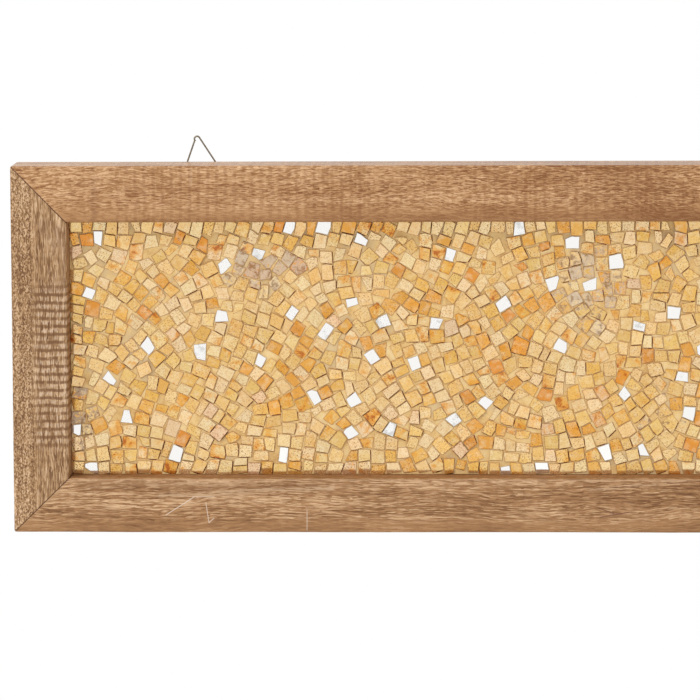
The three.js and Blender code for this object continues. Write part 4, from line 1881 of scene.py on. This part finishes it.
    def _painted_tile_shadows(self, tiles: list[Tile], tree: bpy.types.NodeTree, rng: np.random.Generator) -> None:
        """Makes dark strips of painted shadow on the grout along the lower and right-hand sides of some tiles,
        where a light from the upper left would cast their shadows.

        Args:
            tiles: The gold tiles.
            tree: The geometry tree that raises them.
            rng: Source of chance.
        """
        strips = []
        for tile in tiles:
            chosen = rng.random() < (0.75 if tile.proud > 0 else 0.22)
            for (px, py), (qx, qy) in zip(tile.outline, tile.outline[1:] + tile.outline[:1]):
                length = math.hypot(qx - px, qy - py)
                lucky, wide = rng.random(), rng.uniform(0.35, 0.8)
                ends = rng.uniform(0.0, 0.25, 2)
                if not chosen or length < 3:
                    continue
                nx, ny = (qy - py) / length, (px - qx) / length
                # Only sides that face lower right get a strip of painted shadow.
                if nx * 0.55 - ny * 0.84 < 0.1 or lucky > 0.8:
                    continue
                near, far = ends[0], 1 - ends[1]
                a = (px + (qx - px) * near, py + (qy - py) * near)
                b = (px + (qx - px) * far, py + (qy - py) * far)
                sunk = 0.15
                corners = [(a, -sunk), (b, -sunk), (b, wide), (a, wide * rng.uniform(0.3, 1.0))]
                strips.append(
                    [self._to_panel((p[0] + nx * off, p[1] + ny * off)) for p, off in reversed(corners)]
                )
        level = self.sizes.front + self.recess + self.grout_drop
        rise, count = 0.34, len(strips)
        thing = mesh_object("painted_tile_shadows", self._flat_mesh(strips, level + 0.2))
        for key, value in (("rise", rise * MM), ("rim", 0.98)):
            thing.data.attributes.new(key, "FLOAT", "FACE").data.foreach_set(
                "value", np.full(count, value, np.float32)
            )
        # Dark brown finish of the painted shadow strips.
        stain = GroutFinish(
            "painted_shadow_grout", shade(112, 62, 28), shade(78, 38, 18), shade(146, 92, 46), shade(96, 62, 38)
        )
        grow(thing, tree, {"Chamfer": 0.05 * MM, "Material": stain.material()})
        settle_piece(thing, "panel", "grout")


# ---- Back ----


@dataclass(frozen=True)
class FibreboardFinish:
    """Raw fibreboard: matt, flecked with darker and paler fibres."""

    def material(self) -> bpy.types.Material:
        """Makes the material."""
        material, bench = new_material("fibreboard")
        x, y, z = bench.object_place()
        place = bench.place(x, y, z)
        felt = bench.noise(place, 0.9, 4.0, 0.75)
        cloud = bench.noise(place, 0.02, 3.0)
        fibre = bench.noise(bench.place(x * 0.35, y, z * 1.6), 1.0, 3.0, 0.6, 1.5)
        tone = felt * 0.5 + cloud * 0.25 + fibre * 0.25
        base = bench.ramp(
            tone, [(0.3, shade(126, 98, 66)), (0.5, shade(158, 128, 92)), (0.7, shade(186, 160, 124))]
        )
        close_material(
            bench, {"Base Color": base, "Roughness": 0.88, "Specular IOR Level": 0.25}, felt, relief=0.12
        )
        return material


class BackingBoard:
    """The board in the frame's rabbet, its sawn edges slightly eased."""

    EASED = 0.6

    def build(self) -> None:
        """Builds the board."""
        low, high = node_box("backing_board")
        work = bmesh.new()
        bmesh.ops.create_cube(work, size=1.0)
        middle, size = (low + high) / 2 * MM, (high - low) * MM
        for vertex in work.verts:
            for axis in range(3):
                vertex.co[axis] = middle[axis] + vertex.co[axis] * size[axis]
        bmesh.ops.bevel(
            work, geom=work.edges[:], offset=self.EASED * MM, segments=2, affect="EDGES", profile=0.5
        )
        mesh = bpy.data.meshes.new("backing_board_panel")
        work.to_mesh(mesh)
        work.free()
        smooth_by_angle(mesh, 30)
        mesh.materials.append(FibreboardFinish().material())
        settle_piece(mesh_object("backing_board_panel", mesh), "panel", "fibreboard", "backing_board")


# ---- Hangers ----


@dataclass(frozen=True)
class SteelFinish:
    """Plated or drawn steel with fine scratches and dull spots.

    Attributes:
        name: The material's name.
        bright: Colour of clean metal.
        dull: Colour of tarnished metal.
        roughness: Roughness of clean metal.
    """

    name: str
    bright: Colour
    dull: Colour
    roughness: float

    def material(self) -> bpy.types.Material:
        """Makes the material."""
        material, bench = new_material(self.name)
        x, y, z = bench.object_place()
        spots = bench.noise(bench.place(x, y, z), 0.5, 4.0, 0.65).step(0.48, 0.68)
        lines = bench.noise(bench.place(x * 6, y * 6, z * 0.6), 1.0, 2.0)
        base = bench.blend(spots * 0.7, self.bright, self.dull)
        close_material(
            bench,
            {
                "Base Color": base,
                "Metallic": 1.0,
                "Roughness": self.roughness + spots * 0.2 + (lines - 0.5) * 0.15,
            },
            lines,
            relief=0.02,
        )
        return material


def bake_modifiers(thing: bpy.types.Object) -> None:
    """Puts what a piece's modifiers make into its mesh."""
    graph = bpy.context.evaluated_depsgraph_get()
    thing.data = bpy.data.meshes.new_from_object(thing.evaluated_get(graph))
    thing.modifiers.clear()


@dataclass
class Hanger:
    """A strap screwed to the top rail's back, with a bent wire ring in its loop.

    Attributes:
        word: left or right.
        pivot: The ring's axis.
        facing: 1 where the apex leans to -X, -1 where it leans to +X.
        wire: Material of the ring.
        plate: Material of the strap and screw.
    """

    word: str
    pivot: tuple[float, float, float]
    facing: int
    wire: bpy.types.Material
    plate: bpy.types.Material

    WIRE_RADIUS = 0.72
    RING_BASE = 36.0
    BEND_REACH = 3.2
    STRAP_WIDTH = 11.0
    STRAP_LENGTH = 17.0
    SHEET = 1.0
    LOOP_RADIUS = 1.15
    SCREW_DROP = 10.0
    SCREW_RADIUS = 1.5
    SCREW_DEPTH = 14.0
    HEAD_RADIUS = 3.1
    HEAD_HEIGHT = 1.6
    FIT_GAP = 0.3
    CREASE = 0.12
    THREAD_TURNS = 7
    THREAD_PITCH = 1.3
    THREAD_HEIGHT = 0.22
    TURNED_SIDES = 32

    def build(self, wire_tree: bpy.types.NodeTree) -> None:
        """Builds the ring, the strap and the screw.

        Args:
            wire_tree: Geometry tree that turns a path into wire.
        """
        self._ring(wire_tree)
        self._strap()
        self._screw()

    def _ring_path(self) -> np.ndarray:
        """The wire's centre line, from the cut end of one leg to the small hook over the apex."""
        leg_end = np.array((-7.2, 31.0))
        near, far = np.array((-self.RING_BASE / 2, 0.0)), np.array((self.RING_BASE / 2, 0.0))
        apex = np.array((-3.6, 33.3))
        points = [leg_end]
        for before, corner, after in ((leg_end, near, far), (near, far, apex)):
            start = corner + (before - corner) / np.linalg.norm(before - corner) * self.BEND_REACH
            end = corner + (after - corner) / np.linalg.norm(after - corner) * self.BEND_REACH
            for t in np.linspace(0, 1, 9):
                points.append((1 - t) ** 2 * start + 2 * t * (1 - t) * corner + t * t * end)
        hook = [apex, (-4.6, 33.9), (-5.8, 33.9), (-6.9, 33.3), (-7.5, 32.2), (-7.4, 31.0), (-6.7, 29.9)]
        points += [np.array(p) for p in self._rounded(hook)]
        x, y, z = self.pivot
        behind = [2 * self.WIRE_RADIUS if k == 0 else 0.0 for k in range(len(points))]
        return np.array([(x + self.facing * p[0], y + d, z + p[1]) for p, d in zip(points, behind)])

    @staticmethod
    def _rounded(points: list) -> list[Point]:
        """A smooth line through points."""
        ends = [points[0], *points, points[-1]]
        line = []
        for a, b, c, d in zip(ends, ends[1:], ends[2:], ends[3:]):
            a, b, c, d = (np.array(p, float) for p in (a, b, c, d))
            for t in (0.0, 0.33, 0.67):
                line.append(0.5 * (
                    2 * b + (c - a) * t + (2 * a - 5 * b + 4 * c - d) * t**2 + (3 * b - a - 3 * c + d) * t**3
                ))
        return [*line, np.array(points[-1], float)]

    def _ring(self, wire_tree: bpy.types.NodeTree) -> None:
        """Makes the bent wire ring."""
        path = self._ring_path()
        mesh = bpy.data.meshes.new("path")
        mesh.from_pydata((path * MM).tolist(), [(k, k + 1) for k in range(len(path) - 1)], [])
        thing = mesh_object(f"{self.word}_wire_ring", mesh)
        grow(thing, wire_tree, {"Radius": self.WIRE_RADIUS * MM, "Material": self.wire})
        smooth_by_angle(thing.data, 50)
        settle_piece(thing, f"{self.word}_ring", "steel_wire", f"{self.word}_hanging_ring")

    def _strap(self) -> None:
        """Makes the folded strap: two layers of sheet below a loop."""
        outer, inner = self.LOOP_RADIUS + self.SHEET, self.LOOP_RADIUS
        # Depth and height of the strip's outside, then back along its inside.
        turn = np.radians(np.linspace(-35, 180, 19))
        outside = [(-outer + 2 * self.SHEET, -self.STRAP_LENGTH), (-outer + 2 * self.SHEET, -2.9 * outer / 2)]
        outside += [(outer * math.cos(a), outer * math.sin(a)) for a in turn]
        outside += [(-outer, -self.STRAP_LENGTH)]
        seam = -outer + self.SHEET
        turn = np.radians(np.linspace(180, -52, 21))
        inside = [(seam - self.CREASE / 2, -self.STRAP_LENGTH), (seam - self.CREASE / 2, 0.0)]
        inside += [(inner * math.cos(a), inner * math.sin(a)) for a in turn[1:]]
        inside += [(seam + self.CREASE / 2, -1.75 * outer), (seam + self.CREASE / 2, -self.STRAP_LENGTH)]
        section = outside + inside
        half = self.STRAP_WIDTH / 2
        x, y, z = self.pivot
        points = [(x + side * half, y + d, z + h) for side in (-1, 1) for d, h in section]
        count = len(section)
        faces = [[k, (k + 1) % count, count + (k + 1) % count, count + k] for k in range(count)]
        faces += [list(range(count)), list(range(2 * count - 1, count - 1, -1))]
        mesh = mesh_from(np.array(points), faces)
        face_outwards(mesh)
        thing = mesh_object(f"{self.word}_strap_plate", mesh)
        soften = thing.modifiers.new("soften", "BEVEL")
        soften.width, soften.segments, soften.limit_method = 0.12 * MM, 2, "ANGLE"
        soften.angle_limit = math.radians(50)
        bake_modifiers(thing)
        self._plate(thing, "hanger_strap")

    def _plate(self, thing: bpy.types.Object, node: str) -> None:
        """Smooths a plated piece and settles it in place of its node.

        Args:
            thing: The piece.
            node: Name of the node after left_ or right_.
        """
        smooth_by_angle(thing.data, 35)
        thing.data.materials.clear()
        thing.data.materials.append(self.plate)
        settle_piece(thing, "panel", "plated_steel", f"{self.word}_{node}")

    def _screw(self) -> None:
        """Makes the pan-head screw, turned as one shape and slotted across its head."""
        x, y, z = self.pivot
        seat = y - self.pivot[1] + self.FIT_GAP + 2 * self.SHEET + self.FIT_GAP
        dome = np.radians(np.linspace(0, 90, 9))
        profile = [(0.0, -self.SCREW_DEPTH), (self.SCREW_RADIUS, -self.SCREW_DEPTH + 2.5)]
        for k in range(self.THREAD_TURNS):
            base = -self.SCREW_DEPTH + 3 + k * self.THREAD_PITCH
            profile += [(self.SCREW_RADIUS, base), (
                self.SCREW_RADIUS + self.THREAD_HEIGHT, base + 0.35
            ), (self.SCREW_RADIUS, base + 0.7)]
        profile += [
            (self.SCREW_RADIUS, seat), (self.HEAD_RADIUS - 0.1, seat), (self.HEAD_RADIUS, seat + 0.15)
        ]
        profile += [
            (
                self.HEAD_RADIUS * math.cos(a) ** 0.6, seat + 0.5 + (self.HEAD_HEIGHT - 0.5) * math.sin(a)
            ) for a in dome[:-1]
        ]
        profile.append((0.0, seat + self.HEAD_HEIGHT))
        sides = self.TURNED_SIDES
        points, faces = [], []
        rings: list[list[int]] = []
        for radius, depth in profile:
            ring = []
            for k in range(1 if radius == 0 else sides):
                angle = 2 * math.pi * k / sides
                ring.append(len(points))
                points.append(
                    (x + radius * math.cos(angle), depth, z - self.SCREW_DROP + radius * math.sin(angle))
                )
            rings.append(ring)
        for low, high in zip(rings, rings[1:]):
            for k in range(sides):
                a, b = low[k % len(low)], low[(k + 1) % len(low)]
                c, d = high[(k + 1) % len(high)], high[k % len(high)]
                faces.append(list(dict.fromkeys((a, b, c, d))))
        mesh = mesh_from(np.array(points), faces)
        face_outwards(mesh)
        thing = mesh_object(f"{self.word}_pan_head_screw", mesh)
        self._recess(thing, seat + self.HEAD_HEIGHT)
        self._plate(thing, "strap_screw")

    def _recess(self, thing: bpy.types.Object, top: float) -> None:
        """Cuts the cross recess into a screw's head.

        Args:
            thing: The screw.
            top: Y of the head's top.
        """
        work = bmesh.new()
        for wide, high in ((3.2, 0.75), (0.75, 3.2)):
            made = bmesh.ops.create_cube(work, size=1.0)["verts"]
            for vertex in made:
                shrink = 1.0 if vertex.co.y > 0 else 0.55
                vertex.co.x = (self.pivot[0] + vertex.co.x * wide * shrink) * MM
                vertex.co.z = (self.pivot[2] - self.SCREW_DROP + vertex.co.z * high * shrink) * MM
                vertex.co.y = (top - 0.35 + vertex.co.y * 1.3) * MM
        mesh = bpy.data.meshes.new("cutter")
        work.to_mesh(mesh)
        work.free()
        cutter = mesh_object("cutter", mesh)
        cut = thing.modifiers.new("cut", "BOOLEAN")
        cut.object, cut.operation, cut.solver, cut.use_self = cutter, "DIFFERENCE", "EXACT", True
        bake_modifiers(thing)
        bpy.data.objects.remove(cutter)


def wire_tree() -> bpy.types.NodeTree:
    """Geometry tree that turns a path of edges into round wire.

    Returns:
        The tree, with the inputs Radius and Material.
    """
    tree = bpy.data.node_groups.new("draw wire", "GeometryNodeTree")
    tree_inputs(tree, [("Radius", "NodeSocketFloat"), ("Material", "NodeSocketMaterial")])
    bench = Bench(tree)
    given = bench.add("NodeGroupInput")
    path = bench.add("GeometryNodeMeshToCurve", None, {"Mesh": given.outputs["Geometry"]})
    ring = bench.add(
        "GeometryNodeCurvePrimitiveCircle", None, {"Resolution": 16, "Radius": given.outputs["Radius"]}
    )
    tube = bench.add(
        "GeometryNodeCurveToMesh", None,
        {"Curve": path.outputs[0], "Profile Curve": ring.outputs[0], "Fill Caps": True},
    )
    real = bench.add("GeometryNodeRealizeInstances", None, {"Geometry": tube.outputs[0]})
    dressed = bench.add(
        "GeometryNodeSetMaterial", None, {"Geometry": real.outputs[0], "Material": given.outputs["Material"]}
    )
    bench.add("NodeGroupOutput", None, {"Geometry": dressed.outputs[0]})
    return tree


def build_hangers() -> None:
    """Builds the hanger of each ring joint."""
    tree = wire_tree()
    wire = SteelFinish("drawn_wire", shade(140, 130, 114), shade(78, 70, 58), 0.34).material()
    plate = SteelFinish("plated_steel", shade(202, 200, 192), shade(150, 146, 134), 0.3).material()
    for joint in frame["joints"]:
        word = joint["child"].split("_")[0]
        pivot = tuple(value / MM for value in joint["pos_m"])
        Hanger(word, pivot, 1 if word == "left" else -1, wire, plate).build(tree)


# ---- Studio ----


@dataclass(frozen=True)
class Studio:
    """Pale floor, white surroundings, one soft key light and the camera.

    Attributes:
        camera_place: The camera's place, in metres.
        yaw: Its turn to the right, in radians.
        pitch: Its tilt up, in radians.
        roll: Its turn about its own line of sight, in radians.
        lens: Its focal length, for a sensor 36 mm wide.
        surround: Strength of the white surroundings.
        key: Power of the key light, in watts.
        floor_drop: From the panel's underside down to the floor, in metres.
    """

    camera_place: tuple[float, float, float] = (-0.089196, -4.770912, 0.527638)
    yaw: float = -0.0487242
    pitch: float = -0.1111129
    roll: float = -0.0059309
    lens: float = 296.35
    surround: float = 1.0
    key: float = 60.0
    floor_drop: float = 0.45

    def build(self) -> None:
        """Builds the floor, the lights and the camera."""
        self._floor()
        self._world()
        self._light("key", (-2.4, -3.4, 2.8), 1.6, self.key)
        self._camera()
        view = bpy.context.scene.view_settings
        view.view_transform, view.look = "Standard", "None"

    def _floor(self) -> None:
        """Makes the floor, a slightly uneven pale sheet under the panel."""
        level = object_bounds()[0].z - self.floor_drop
        corners = [(-4.0, -3.5), (4.0, -3.5), (4.0, 1.4), (-4.0, 1.4)]
        mesh = bpy.data.meshes.new("floor")
        mesh.from_pydata([(x, y, level) for x, y in corners], [], [(0, 1, 2, 3)])
        material, bench = new_material("pale_floor")
        x, y, z = bench.object_place()
        tone = bench.noise(bench.place(x, y, z), 0.004, 3.0)
        base = bench.ramp(tone, [(0.3, shade(236, 236, 234)), (0.7, shade(246, 246, 245))])
        close_material(bench, {"Base Color": base, "Roughness": 0.7})
        mesh.materials.append(material)
        mesh_object("floor", mesh)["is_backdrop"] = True

    def _world(self) -> None:
        """Surrounds the panel with even white light."""
        world = bpy.data.worlds.new("white_studio")
        world.use_nodes = True
        world.node_tree.nodes.clear()
        bench = Bench(world.node_tree)
        light = bench.add("ShaderNodeBackground", None, {"Color": (1, 1, 1, 1), "Strength": self.surround})
        bench.add("ShaderNodeOutputWorld", None, {"Surface": light.outputs[0]})
        bpy.context.scene.world = world

    @staticmethod
    def _light(name: str, place: tuple[float, float, float], size: float, power: float) -> None:
        """Adds a soft square light that looks at the panel.

        Args:
            name: Its name.
            place: Its place, in metres.
            size: Its side, in metres.
            power: Its power, in watts.
        """
        lamp = bpy.data.lights.new(name, "AREA")
        lamp.energy, lamp.size = power, size
        thing = bpy.data.objects.new(name, lamp)
        back = np.array(place) / np.linalg.norm(place)
        side = np.cross((0, 0, 1), back)
        side /= np.linalg.norm(side)
        up = np.cross(back, side)
        thing.matrix_world = Matrix([[side[k], up[k], back[k], place[k]] for k in range(3)] + [[0, 0, 0, 1]])
        bpy.context.scene.collection.objects.link(thing)

    def _camera(self) -> None:
        """Sets up the camera."""
        ahead = np.array((
            math.sin(self.yaw) * math.cos(self.pitch),
            math.cos(self.yaw) * math.cos(self.pitch),
            math.sin(self.pitch),
        ))
        level = np.array((math.cos(self.yaw), -math.sin(self.yaw), 0.0))
        above = np.cross(level, ahead)
        right = level * math.cos(self.roll) + above * math.sin(self.roll)
        up = above * math.cos(self.roll) - level * math.sin(self.roll)
        camera = bpy.data.cameras.new("camera")
        camera.lens, camera.sensor_width = self.lens, 36.0
        camera.clip_start, camera.clip_end = 0.1, 100.0
        thing = bpy.data.objects.new("camera", camera)
        rows = [[right[k], up[k], -ahead[k], self.camera_place[k]] for k in range(3)]
        thing.matrix_world = Matrix(rows + [[0, 0, 0, 1]])
        bpy.context.scene.collection.objects.link(thing)
        bpy.context.scene.camera = thing


def main() -> None:
    """Builds the panel and the studio."""
    logging.basicConfig(level=logging.INFO, format="%(message)s")
    sizes = PanelSizes.from_frame()
    TimberFrame(sizes).build()
    Mosaic(sizes).build()
    BackingBoard().build()
    build_hangers()
    Studio().build()


if __name__ == "__main__":
    main()
